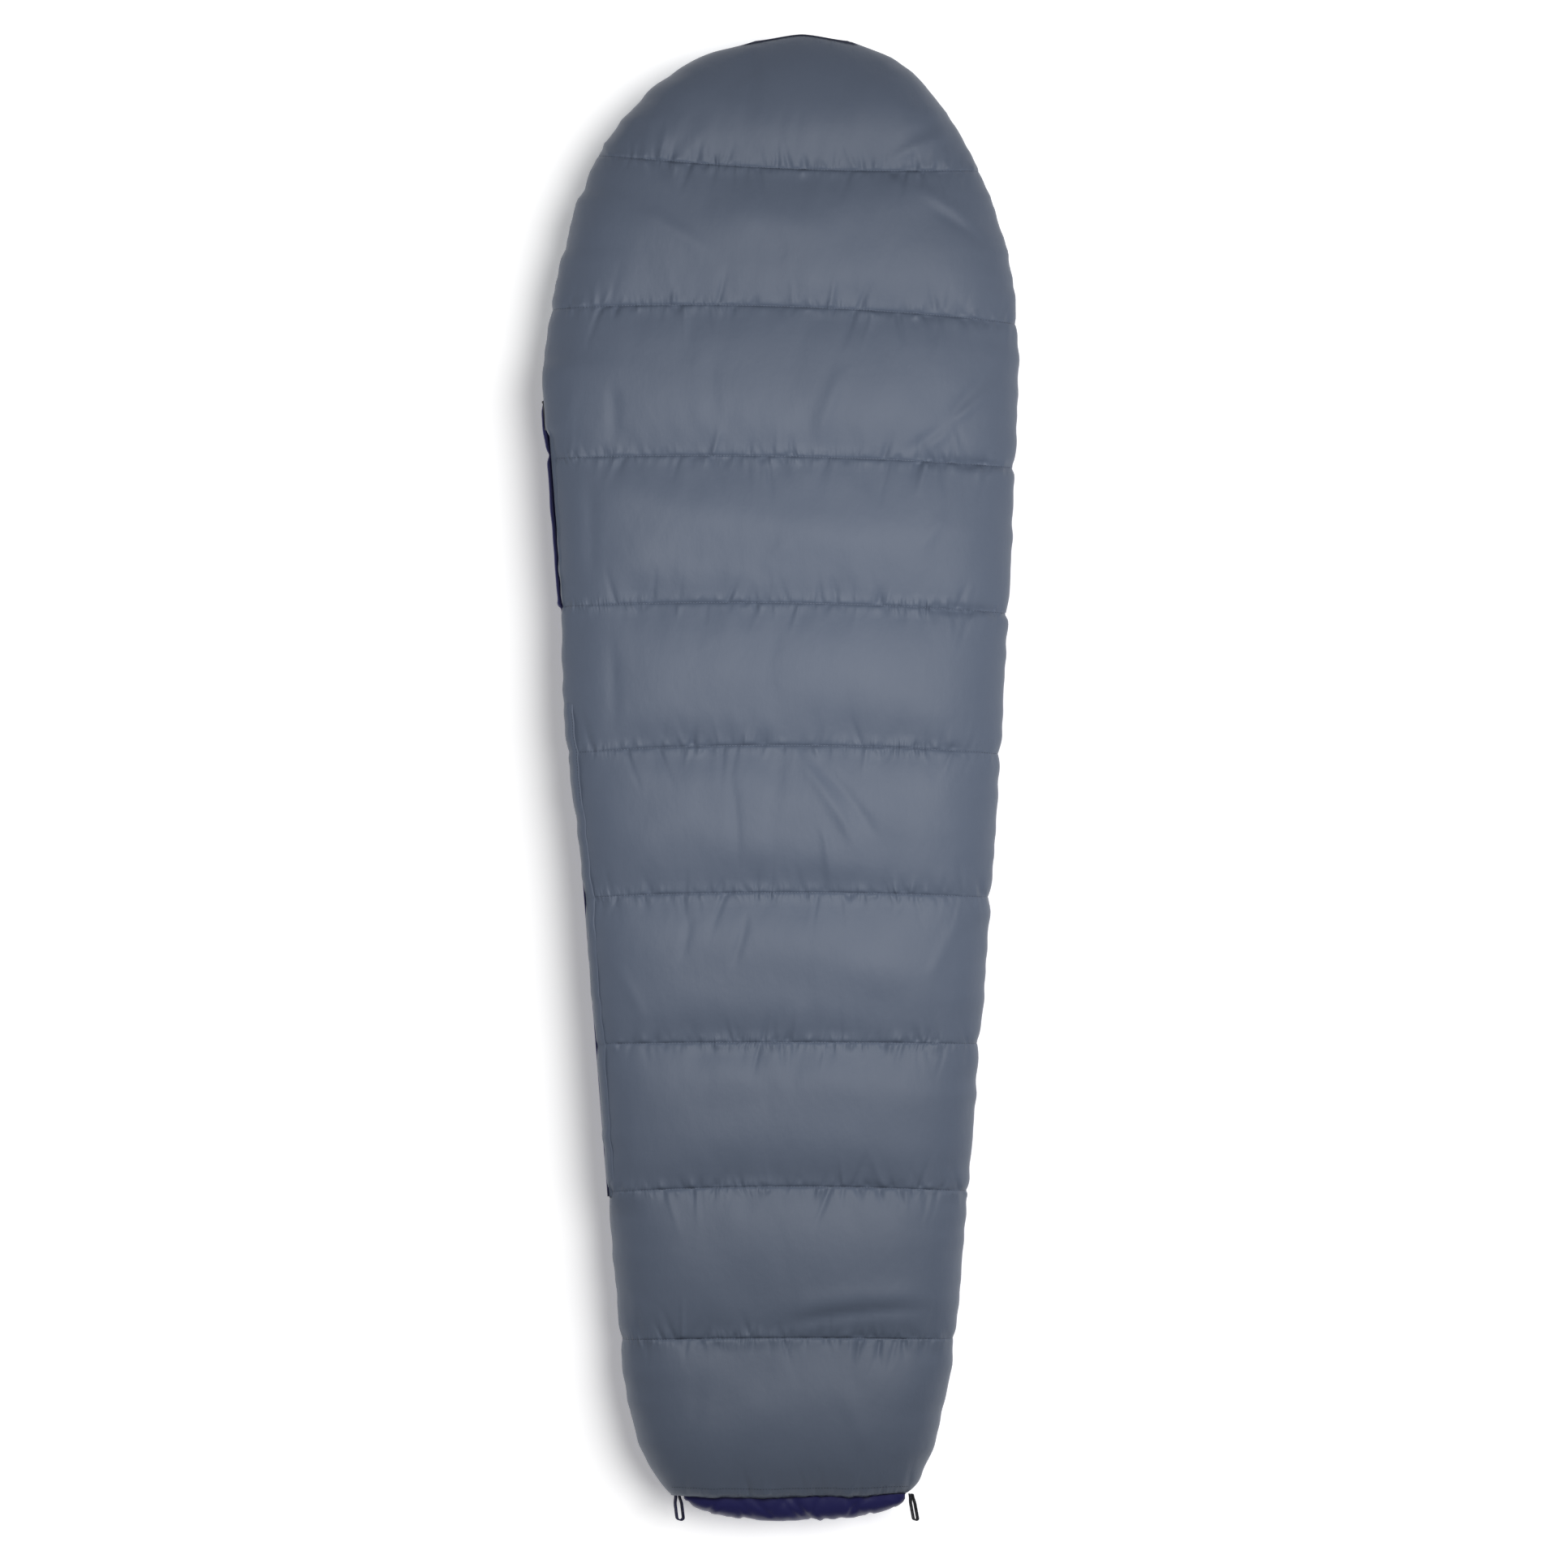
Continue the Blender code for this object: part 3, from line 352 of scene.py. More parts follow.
# The edge roll's navy is the front panel's navy cloth painted about twice as light: painted light
# to make up for the shade it lies in under the quilt.
ROLL_NAVY_PAINTED_LIGHT = taffeta("roll_navy_painted_light", (0.050, 0.052, 0.230), 0.40, 0.10, 1.0, 0.5)
LINING = taffeta("lining_blue", (0.045, 0.050, 0.085), 0.60, 0.15, 0.9, 0.3)
TAPE = woven("zip_tape_weave", (0.030, 0.032, 0.055), 0.0012)
WEBBING_NAVY = woven("webbing_navy", (0.020, 0.021, 0.095), 0.0018)
WEBBING_GREY = woven("webbing_grey", (0.045, 0.047, 0.056), 0.0018)
COIL = moulded("coil_nylon", (0.022, 0.024, 0.036), 0.42)
LOCK = moulded("lock_nylon", (0.020, 0.020, 0.024), 0.45)
SLIDER = metal("slider_casting", (0.20, 0.20, 0.21), 0.38)
SPRING = metal("spring_wire", (0.55, 0.55, 0.56), 0.30)
FUZZ = fuzzy("hook_and_loop", (0.030, 0.031, 0.042))
CORD = braided("cord_braid", (0.035, 0.036, 0.050))
THREAD = woven("sewing_thread", shade(GREY, 0.50)[:3], 0.0009)
THREAD_NAVY = woven("sewing_thread_navy", (0.020, 0.020, 0.070), 0.0009)


# ---------------------------------------------------------------- making pieces
def add(name, mesh, body, replaces=(), looks=()):
    """A finished mesh as a piece that rides on a body."""
    made = bpy.data.objects.new(name, mesh)
    bpy.context.scene.collection.objects.link(made)
    for look in looks:
        mesh.materials.append(look)
    mesh.shade_smooth()
    if body:
        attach(made, body)
    if replaces:
        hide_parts(*replaces)
    return made


def cloth_grid(name, points, marks=None, closed_by=None, flip=False):
    """Mesh of rows by columns of points. closed_by is the inner layer of a closed pad.

    marks has one (along, beside) pair for each point, for the cloth's pattern.
    """
    rows, columns = points.shape[:2]
    bm = bmesh.new()
    bmesh.ops.create_grid(bm, x_segments=columns - 1, y_segments=rows - 1, size=0.5)
    if closed_by is not None:
        pulled = bmesh.ops.extrude_face_region(bm, geom=bm.faces[:])
        moved = [item for item in pulled["geom"] if isinstance(item, bmesh.types.BMVert)]
        bmesh.ops.translate(bm, vec=(0, 0, 1), verts=moved)
        bmesh.ops.recalc_face_normals(bm, faces=bm.faces[:])
        for face in bm.faces:
            face.material_index = 0 if face.calc_center_median().z > 0.75 else 1
    mesh = bpy.data.meshes.new(name)
    bm.to_mesh(mesh)
    bm.free()
    flat = np.empty(len(mesh.vertices) * 3)
    mesh.vertices.foreach_get("co", flat)
    flat = flat.reshape(-1, 3)
    column = np.rint((flat[:, 0] + 0.5) * (columns - 1)).astype(int)
    row = np.rint((flat[:, 1] + 0.5) * (rows - 1)).astype(int)
    placed = points[row, column].copy()
    if closed_by is not None:
        inner = flat[:, 2] < 0.5
        placed[inner] = closed_by[row[inner], column[inner]]
    mesh.vertices.foreach_set("co", placed.ravel())
    if marks is None:
        marks = points[..., :2]
    corner = np.empty(len(mesh.loops), int)
    mesh.loops.foreach_get("vertex_index", corner)
    pattern = mesh.uv_layers.new(name="cloth")
    pattern.data.foreach_set("uv", marks[row, column][corner].astype(np.float32).ravel())
    if flip:
        mesh.flip_normals()
    mesh.update()
    return mesh


def tube(points, radius, sides=12, squeeze=None, closed_ends=True):
    """Grid points round a line: rows along it, columns round it. squeeze scales each row."""
    line = np.array(points, float)
    along = np.gradient(line, axis=0)
    along /= np.linalg.norm(along, axis=1)[:, None]
    up = np.array([0.0, 0.0, 1.0])
    side = np.cross(along, up)
    side /= np.linalg.norm(side, axis=1)[:, None]
    high = np.cross(side, along)
    radius = np.broadcast_to(radius, (len(line),)).astype(float).copy()
    if closed_ends:
        line = np.vstack([line[:1], line, line[-1:]])
        side, high = (np.vstack([v[:1], v, v[-1:]]) for v in (side, high))
        radius = np.concatenate([[radius[0] * 0.02], radius, [radius[-1] * 0.02]])
    turn = np.linspace(0, 2 * math.pi, sides + 1)
    over, up = np.cos(turn)[None, :, None], np.sin(turn)[None, :, None]
    ring = side[:, None] * over + high[:, None] * up
    spread = radius[:, None, None] if squeeze is None else radius[:, None, None] * squeeze
    return line[:, None] + ring * spread


def tube_mesh(name, points, radius, sides=12, squeeze=None, closed_ends=True):
    grid = tube(points, radius, sides, squeeze, closed_ends)
    length = np.concatenate([[0], np.cumsum(np.linalg.norm(
        np.diff(grid.mean(axis=1), axis=0), axis=1))])
    marks = np.stack(np.broadcast_arrays(
        np.linspace(0, 1, grid.shape[1])[None, :], length[:, None]), axis=-1)
    mesh = cloth_grid(name, grid, marks)
    joined = bmesh.new()
    joined.from_mesh(mesh)
    bmesh.ops.remove_doubles(joined, verts=joined.verts[:], dist=1e-6)
    bmesh.ops.recalc_face_normals(joined, faces=joined.faces[:])
    joined.to_mesh(mesh)
    joined.free()
    return mesh


# ---------------------------------------------------------------- folds and puckers
def fold(x, y, start, end, width, height):
    """A soft crease from start to end that fades at both."""
    start, run = np.array(start), np.array(end) - np.array(start)
    length = np.linalg.norm(run)
    along = ((x - start[0]) * run[0] + (y - start[1]) * run[1]) / length ** 2
    off = ((x - start[0]) * run[1] - (y - start[1]) * run[0]) / length
    off = off - 0.12 * length * (along - 0.5) ** 2
    taper = ease(along * 3) * ease((1 - along) * 3)
    return height * taper * np.exp(-(off / width) ** 2)


def puckers(x, away, low, high, dice, crowd=1.0):
    """Small folds that run away from a seam between low and high, on the side where away > 0."""
    total = np.zeros_like(x)
    place = low
    while place < high:
        place += dice.uniform(0.003, 0.021) / crowd
        length = dice.uniform(0.007, 0.022) + 0.060 * dice.random() ** 4
        width = dice.uniform(0.0024, 0.0052)
        lean = dice.uniform(-0.45, 0.45)
        height = dice.choice((-1, -1, -1, 1)) * dice.uniform(0.0006, 0.0036) * width / 0.0045
        across = (x - place - lean * away) / width
        fade = np.clip(1 - away / length, 0, 1) ** 1.3 * (0.35 + 0.65 * ease(away / 0.005))
        total += height * np.exp(-across ** 2) * fade
    return np.where(away >= 0, total, 0)


def all_puckers(x, row_y, borders, low_edge, high_edge, seed):
    """Puckers on both sides of every border, for rows by columns of points."""
    total = np.zeros_like(x)
    for k, border in enumerate(borders):
        for side in (-1, 1):
            dice = random.Random(seed + 10 * k + side)
            away = side * (row_y - border)
            near = (away >= -1e-9) & (away < 0.070)
            if not near.any():
                continue
            reach = np.broadcast_to(away[near][:, None], x[near].shape)
            low, high = low_edge(border) + 0.01, high_edge(border) - 0.01
            tight = 1.0 if 0.12 < border < 0.50 else 0.7
            total[near] += puckers(x[near], reach, low, high, dice)
            total[near] += puckers(x[near], reach, high - 0.14, high, dice, 1.8) * tight
    return total * 1.4


# Larger creases: start, end, width and height (negative for a dip).
FOLDS = [
    ((0.140, 0.905), (0.275, 0.962), 0.007, 0.0030),
    ((0.165, 0.935), (0.270, 0.985), 0.009, -0.0022),
    ((-0.215, 0.985), (-0.205, 0.910), 0.008, -0.0022),
    ((-0.050, 1.075), (-0.035, 1.030), 0.007, -0.0016),
    ((-0.225, 0.850), (-0.090, 0.765), 0.012, 0.0026),
    ((0.190, 0.880), (0.310, 0.800), 0.010, 0.0030),
    ((0.215, 0.850), (0.320, 0.775), 0.008, -0.0024),
    ((-0.120, 0.840), (0.110, 0.800), 0.030, 0.0026),
    ((0.205, 0.480), (0.330, 0.592), 0.008, 0.0034),
    ((0.170, 0.478), (0.290, 0.540), 0.007, -0.0026),
    ((0.235, 0.520), (0.335, 0.630), 0.009, -0.0026),
    ((0.045, 0.480), (0.095, 0.620), 0.012, 0.0024),
    ((-0.100, 0.500), (-0.105, 0.640), 0.014, -0.0016),
    ((0.200, 0.330), (0.245, 0.395), 0.010, 0.0014),
    ((-0.040, 0.300), (0.020, 0.355), 0.012, 0.0014),
    ((0.020, 0.045), (0.125, -0.115), 0.009, 0.0026),
    ((0.045, 0.040), (0.155, -0.100), 0.008, -0.0020),
    ((-0.075, 0.030), (-0.060, -0.150), 0.008, -0.0014),
    ((-0.045, -0.190), (-0.075, -0.290), 0.007, -0.0018),
    ((-0.130, -0.190), (-0.150, -0.280), 0.008, -0.0016),
    ((0.060, -0.060), (0.075, -0.165), 0.007, 0.0018),
    ((-0.250, -0.260), (-0.195, -0.370), 0.010, 0.0018),
    ((0.215, -0.300), (0.265, -0.200), 0.010, 0.0018),
    ((-0.248, 0.590), (-0.246, 0.485), 0.010, -0.0022),
    ((-0.283, 0.455), (-0.279, 0.275), 0.011, -0.0024),
    ((-0.250, 0.220), (-0.244, 0.055), 0.010, -0.0020),
    ((-0.300, 0.590), (-0.335, 0.480), 0.009, 0.0018),
    ((-0.020, -0.800), (0.255, -0.775), 0.009, -0.0034),
    ((-0.010, -0.775), (0.250, -0.755), 0.016, 0.0022),
    ((-0.235, -0.730), (-0.195, -0.820), 0.009, 0.0022),
    ((-0.110, -0.870), (-0.150, -1.020), 0.014, -0.0016),
    ((0.090, -0.880), (0.130, -1.010), 0.016, 0.0016),
]

# ---------------------------------------------------------------- back panel and hood
RIM = MIDDLE + 0.002
ZIP_RIM = MIDDLE + 0.018
GROOVE, GROOVE_HALF, CREST = 0.0038, 0.0020, 0.0100
CROWN_ROUND, HEM_ROUND, HEM_HIGH = 0.165, 0.110, 0.62
UNEVEN = 0.0016  # height of the soft unevenness all over the top
GATHER = 0.0050  # how far the right ends of the upper seams are drawn in
WAIST_Y = -0.93  # where the sides curve in most above the foot
FLAT_SHARE = 0.40


def seam_rows(borders, beside, step):
    """Y of the rows of a panel, with extra ones at the distances beside each border."""
    rows = []
    for low, high in zip(borders, borders[1:]):
        inner = max(1, round((high - low - 2 * beside[-1]) / step))
        middle = np.linspace(low + beside[-1], high - beside[-1], inner + 1)[1:-1]
        rows += [low + d for d in beside] + list(middle) + [high - d for d in reversed(beside[1:])]
    return np.array(rows + [borders[-1]])


def section(columns, half=0.30, height=0.058):
    """Shares of the half width, evenly spaced along the crowned outline of a panel."""
    u = np.sin(np.linspace(-math.pi / 2, math.pi / 2, 4001))
    steps = np.hypot(np.diff(u) * half, np.diff(crowned(u)) * height)
    path = np.concatenate([[0], np.cumsum(steps)])
    return np.interp(np.linspace(0, path[-1], columns), path, u)


def crowned(u):
    out = np.clip(np.abs(u) - FLAT_SHARE, 0, None) / (1 - FLAT_SHARE)
    return np.sqrt(np.clip(1 - out ** 3, 0, None))


def lofted(y, borders, groove, crest, last_is_open):
    """Height lost beside the seams of a panel, 0 at the crest of a chamber."""
    index, share, length = chamber(y, borders)
    away = np.minimum(share, 1 - share) * length
    if last_is_open:
        last = index == len(borders) - 2
        away = np.where(last, share * length, away)
        share = np.where(last, np.minimum(share, 0.5), share)
    return -groove * np.exp(-away / GROOVE_HALF) - crest * (1 - np.sin(math.pi * share) ** 0.85)


def side_swell(y, side):
    """How far the stuffed side stands out past the cut edge."""
    scallop = 0.0036 * (1 - np.exp(-from_seam(y) / 0.010)) - 0.0018
    uneven = 0.0015 * waves(y, 31 + side) + 0.0008 * waves(y, 35 + side, 4, 0.07, 0.035)
    crown_waves = 0.0022 * waves(y, 38 + side, 5, 0.09, 0.02) * ease((y - 0.62) / 0.2)
    swell = scallop + (uneven + crown_waves) * ease((CROWN - y) / 0.03)
    waist = np.exp(-((y - WAIST_Y) / 0.060) ** 2)
    if side > 0:
        corner = 0.0050 * ease((HEM + 0.040 - y) / 0.035)
        return swell + 0.0015 * ease((0.3 - y) / 0.5) - 0.0090 * waist + corner
    flare = 0.0085 * np.exp(-((y - 0.09) / 0.14) ** 2) + 0.0015 * ease((0.26 - y) / 0.05)
    over_zip = 0.0040 * ease((y - 0.50) / 0.02) * ease((0.62 - y) / 0.03)
    return swell + flare + over_zip - 0.0050 * waist


def hood_lean(y):
    rise = np.clip((y - NECK) / (CROWN - NECK), 0, 1)
    return 0.0085 * ease(rise / 0.4) + 0.022 * rise ** 5


def peaked(x, y):
    """The hood's crown comes to a soft point instead of a straight top."""
    off = np.clip(np.abs(x - 0.030) / 0.17, 0, 1)
    return y - 0.0105 * np.sin(math.pi * off) ** 1.6 * ease((y - 0.98) / 0.10)


def back_surface(row_y, u):
    """Points of the back panel's outer cloth, before its puckers."""
    y, u = np.meshgrid(row_y, u, indexing="ij")
    left = edge(y, -1) - side_swell(y, -1)
    right = edge(y, 1) + side_swell(y, 1)
    middle, half = (left + right) / 2, (right - left) / 2
    x = middle + half * u + hood_lean(y)
    to_crown = np.clip((CROWN - y) / CROWN_ROUND, 0, 1)
    to_hem = np.clip((y - HEM) / HEM_ROUND, 0, 1)
    at_crown = np.sqrt(1 - (1 - to_crown) ** 2)
    at_hem = HEM_HIGH + (1 - HEM_HIGH) * np.sqrt(1 - (1 - to_hem) ** 2)
    on_zip = ease((y - ZIP_LOW + 0.03) / 0.03) * ease((ZIP_HIGH + 0.03 - y) / 0.03)
    rim = RIM + (ZIP_RIM - RIM) * on_zip * (u < 0)
    lost = lofted(y, BORDERS, GROOVE, CREST, True)
    top = TOP + lost * (0.35 + 0.65 * crowned(u) ** 2)
    z = rim + (top - rim) * at_crown * at_hem * crowned(u)
    return x, peaked(x, y + drift(y, u)), z, y, u


SIM_FRAMES = 18
SIM_PRESSURE = 2.0
SIM_GROWTH = 0.022  # how much larger the cut cloth is than the shape it is sewn to
SIM_CAP = 0.0050


def settled(points, sewn):
    """Where a sheet's points end when its stuffing pushes it out and the sewn ones are held."""
    rows, columns = points.shape[:2]
    mesh = cloth_grid("settling", points)
    made = bpy.data.objects.new("settling", mesh)
    bpy.context.scene.collection.objects.link(made)
    group = made.vertex_groups.new(name="sewn")
    group.add([int(k) for k in np.flatnonzero(sewn.ravel())], 1.0, "REPLACE")
    settings = made.modifiers.new("cloth", "CLOTH").settings
    settings.quality = 5
    settings.mass = 0.15
    settings.tension_stiffness = settings.compression_stiffness = 25.0
    settings.shear_stiffness = 8.0
    settings.bending_stiffness = 0.12
    settings.vertex_group_mass = "sewn"
    settings.use_pressure = True
    settings.uniform_pressure_force = SIM_PRESSURE
    settings.shrink_min = -SIM_GROWTH
    settings.effector_weights.gravity = 0.0
    for step in range(1, SIM_FRAMES + 1):
        bpy.context.scene.frame_set(step)
    moved = made.evaluated_get(bpy.context.evaluated_depsgraph_get()).data
    flat = np.empty(rows * columns * 3)
    moved.vertices.foreach_get("co", flat)
    bpy.context.scene.frame_set(1)
    bpy.data.objects.remove(made)
    bpy.data.meshes.remove(mesh)
    return flat.reshape(rows, columns, 3)


def smoothed(values, passes):
    """Averages each value with its neighbours along rows and columns."""
    for _ in range(passes):
        for axis in (0, 1):
            padding = [(1, 1) if k == axis else (0, 0) for k in range(2)]
            wide = np.pad(values, padding, mode="edge")
            count = values.shape[axis]
            before = np.take(wide, range(count), axis)
            after = np.take(wide, range(2, count + 2), axis)
            values = 0.25 * before + 0.5 * values + 0.25 * after
    return values


def billows(row_y, u):
    """Height that a cloth simulation of the sewn-down back adds at each row and column."""
    rows = seam_rows(BORDERS, [0, 0.009, 0.019], 0.0115)
    shares = section(97)
    x, along, z, _, _ = back_surface(rows, shares)
    start = np.stack([x, along, z], axis=-1)
    sewn = np.isin(rows, BORDERS)[:, None] | (np.abs(shares) > 0.999)[None, :]
    raised = SIM_CAP * np.tanh((settled(start, sewn)[..., 2] - z) / (1.6 * SIM_CAP))
    raised = smoothed(raised, 1)
    across = np.array([np.interp(u, shares, line) for line in raised])
    fine = np.array([np.interp(row_y, rows, line) for line in across.T]).T
    return smoothed(fine, 3)


def back_panel():
    beside = [0, 0.0010, 0.0022, 0.0038, 0.0060, 0.0088, 0.0122, 0.0165, 0.0215]
    row_y = seam_rows(BORDERS, beside, 0.0064)
    x, along, z, y, u = back_surface(row_y, section(226))
    on_top = crowned(u) ** 1.5
    for start, end, width, height in FOLDS:
        z += on_top * fold(x, along, start, end, width, height)
    patches = waves(x + 0.15 * y, 5, 6, 0.30, 0.09) * waves(y - 0.2 * x, 8, 6, 0.35, 0.10)
    z += UNEVEN * on_top * patches
    z += UNEVEN * on_top * waves(y + 0.05 * np.sin(5 * x + 3 * y), 14, 5, 0.22, 0.09)
    z += billows(row_y, u[0])
    tucks = all_puckers(x, row_y, BORDERS[:-1], left_edge, right_edge, 100)
    z += tucks * (0.3 + 0.7 * on_top)
    drawn = ease((x - 0.16) / 0.14) * ease((y - 0.10) / 0.05) * ease((0.60 - y) / 0.05)
    z -= GATHER * drawn * np.exp(-(from_seam(y) / 0.0075) ** 2)
    side_ways = np.sign(u) * (1 - crowned(u)) ** 2
    x += side_ways * tucks * 0.8
    at_edge = ease((HEM + 0.030 - y) / 0.030)
    scalloped = 0.0020 * waves(x, 61, 6, 0.16, 0.022) + 0.0030 * np.cos(9.0 * (x + 0.03))
    along = along - at_edge * (scalloped - 0.0010)
    points = np.stack([x, along, z], axis=-1)
    turned = points[:, [0, -1]].copy()
    turned[:, 0, 0] += 0.012
    turned[:, 1, 0] -= 0.012
    points = np.concatenate([turned[:, :1], points, turned[:, 1:]], axis=1)
    hem = points[0].copy()
    rolled = []
    for dy, dz in ((0.010, -0.0075), (0.003, -0.0062), (-0.0018, -0.0030)):
        row = hem.copy()
        row[:, 1] += dy
        row[:, 2] = np.maximum(row[:, 2] + dz, RIM - 0.001)
        rolled.append(row)
    points = np.concatenate([np.array(rolled), points], axis=0)
    marks = np.stack([points[..., 0], np.zeros(points.shape[:2])], axis=-1)
    away = from_seam(row_y)
    marks[3:, :, 1] = away[:, None]
    mesh = cloth_grid("back_quilt", points, marks)
    made = add(
        "back_quilt", mesh, "back_panel",
        ["back_outer_shell", "back_insulation", "back_right_gusset", "back_left_gusset",
         "hood_gusset"],
        [SHELL_GREY],
    )
    return points[3:], row_y


back_points, back_rows = back_panel()


def back_lining():
    """The cloth that faces the sleeper, drawn up a little at each seam."""
    row_y = seam_rows(BORDERS, [0, 0.004, 0.010, 0.020], 0.018)
    u = np.linspace(-1, 1, 61)
    y, u = np.meshgrid(row_y, u, indexing="ij")
    left, right = edge(y, -1) + 0.0060, edge(y, 1) - 0.0075
    x = (left + right) / 2 + u * (right - left) / 2 + hood_lean(y)
    lift = 0.0042 * np.exp(-from_seam(y) / 0.012)
    z = back_lining_low + lift + 0.0004 * waves(x + y, 71) * waves(y - x, 72)
    along = peaked(x, y + drift(y, u))
    inner = BORDERS[1:-1]
    z += 0.5 * np.abs(all_puckers(x, row_y, inner, lambda b: -0.33, lambda b: 0.33, 500))
    under = np.stack([x, along, z], axis=-1)
    over = under + np.array([0, 0, 0.0010])
    marks = np.stack([x, np.broadcast_to(from_seam(row_y)[:, None], x.shape)], axis=-1)
    mesh = cloth_grid("back_lining", over, marks, under)
    made = add("back_lining", mesh, "back_panel", ["back_liner"], [LINING, LINING])


back_lining_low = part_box("back_liner")[0].z
back_lining()

# ---------------------------------------------------------------- front panel
FRONT_BORDERS = np.append(BORDERS[BORDERS < NECK - 0.04], NECK)
FRONT_RIM = MIDDLE - 0.002
FRONT_ZIP_RIM = MIDDLE - 0.018
FRONT_LINING_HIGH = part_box("front_liner")[1].z


def front_panel():
    beside = [0, 0.002, 0.0045, 0.008, 0.013, 0.020]
    row_y = seam_rows(FRONT_BORDERS, beside, 0.0085)
    y, u = np.meshgrid(row_y, section(104), indexing="ij")
    left = edge(y, -1) - 0.3 * side_swell(y, -1) * (y < 0.5) + 0.0004
    right = edge(y, 1) - 0.0065 + 0.5 * side_swell(y, 1)
    x = (left + right) / 2 + (right - left) / 2 * u
    at_neck = np.sqrt(1 - (1 - np.clip((NECK - y) / 0.05, 0, 1)) ** 2)
    to_hem = np.clip((y - HEM) / HEM_ROUND, 0, 1)
    at_hem = HEM_HIGH + (1 - HEM_HIGH) * np.sqrt(1 - (1 - to_hem) ** 2)
    on_zip = ease((y - ZIP_LOW + 0.03) / 0.03) * ease((ZIP_HIGH + 0.03 - y) / 0.03)
    rim = FRONT_RIM + (FRONT_ZIP_RIM - FRONT_RIM) * on_zip * (u < 0)
    lost = lofted(y, FRONT_BORDERS, GROOVE, CREST, False)
    depth = rim + 0.004 + lost * (0.35 + 0.65 * crowned(u) ** 2)
    z = rim - depth * at_neck * at_hem * crowned(u)
    z += all_puckers(x, row_y, FRONT_BORDERS, left_edge, right_edge, 300)
    z += 0.0012 * waves(x + 0.3 * y, 51, 6, 0.3, 0.07) * waves(y - 0.3 * x, 52, 6, 0.3, 0.09)
    z = np.maximum(z, 0.0004)
    puffed = 0.0040 * np.exp(-from_seam(y, FRONT_BORDERS) / 0.012)
    inner_z = np.maximum(FRONT_LINING_HIGH - puffed, z + 0.0004)
    outer = np.stack([x, y, z], axis=-1)
    inner = np.stack([x, y, inner_z], axis=-1)
    beside_seam = np.broadcast_to(from_seam(row_y, FRONT_BORDERS)[:, None], x.shape)
    marks = np.stack([x, beside_seam], axis=-1)
    mesh = cloth_grid("front_quilt", inner, marks, outer)
    made = add(
        "front_quilt", mesh, "front_panel",
        ["front_outer_shell", "front_insulation", "front_liner", "front_right_gusset",
         "front_left_gusset"],
        [LINING, SHELL_NAVY],
    )
    return outer, row_y


front_points, front_rows = front_panel()

# ---------------------------------------------------------------- hood's face band
BAND_LOW_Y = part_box("hood_band_outer_shell")[0].y
BAND_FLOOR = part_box("hood_band_outer_shell")[0].z
FACE_HALF = 0.150
FACE_RISE = 0.190


def face_edge(angle, inward=0.0):
    return np.array([
        (FACE_HALF - inward) * np.cos(angle), BAND_LOW_Y + (FACE_RISE - inward) * np.sin(angle)
    ])


def face_band():
    """Crescent round the face opening, gathered by its drawcord."""
    angle = np.linspace(0, math.pi, 181)
    share = np.linspace(0, 1, 34)
    inner = face_edge(angle)
    outer_y = np.clip(NECK + HOOD_RADIUS * np.sin(angle), BAND_LOW_Y, CROWN - 0.0045)
    outer_x = np.where(angle < math.pi / 2, edge(outer_y, 1) - 0.005, edge(outer_y, -1) + 0.005)
    flat = NECK + HOOD_RADIUS * np.sin(angle) > CROWN - 0.0045
    outer_x = np.where(flat, SHOULDER_HALF * np.cos(angle), outer_x) + hood_lean(outer_y)
    x = inner[0][:, None] + (outer_x - inner[0])[:, None] * share
    y = peaked(x, inner[1][:, None] + (outer_y - inner[1])[:, None] * share)
    rim = (MIDDLE - 0.013) * (1 - share) + (MIDDLE + 0.0016) * share
    swell = crowned(2 * share - 1)[None, :]
    ends = np.sqrt(1 - (1 - np.clip((y - BAND_LOW_Y) / 0.030, 0, 1)) ** 2)
    gathers = np.sin(angle * 64 + 2.2 * waves(angle, 61, 6, 2.0, 0.2))[:, None]
    radial = 0.0022 * gathers * np.exp(-share / 0.16)[None, :] * np.clip(share * 14, 0, 1)
    soft = 0.0022 * waves(angle * 0.6, 62, 7, 0.5, 0.05)[:, None]
    soft = soft * np.sin(math.pi * share)[None, :]
    z = rim - (rim - BAND_FLOOR) * swell * (0.25 + 0.75 * ends) + radial + soft
    z = np.maximum(z, 0.0008)
    lining = np.maximum(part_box("hood_band_liner")[1].z, z + 0.0008)
    outer = np.stack([x, y, z], axis=-1)
    inner = np.stack([x, y, lining], axis=-1)
    marks = np.stack([x, np.broadcast_to(share * 0.18, x.shape)], axis=-1)
    mesh = cloth_grid("hood_band_quilt", outer, marks, inner)
    made = add(
        "hood_band_quilt", mesh, "back_panel",
        ["hood_band_outer_shell", "hood_band_insulation", "hood_band_liner"],
        [SHELL_GREY, LINING],
    )


face_band()

# ---------------------------------------------------------------- foot box
box_low, box_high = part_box("foot_box_insulation")
FOOT_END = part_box("foot_box_shell")[0].y


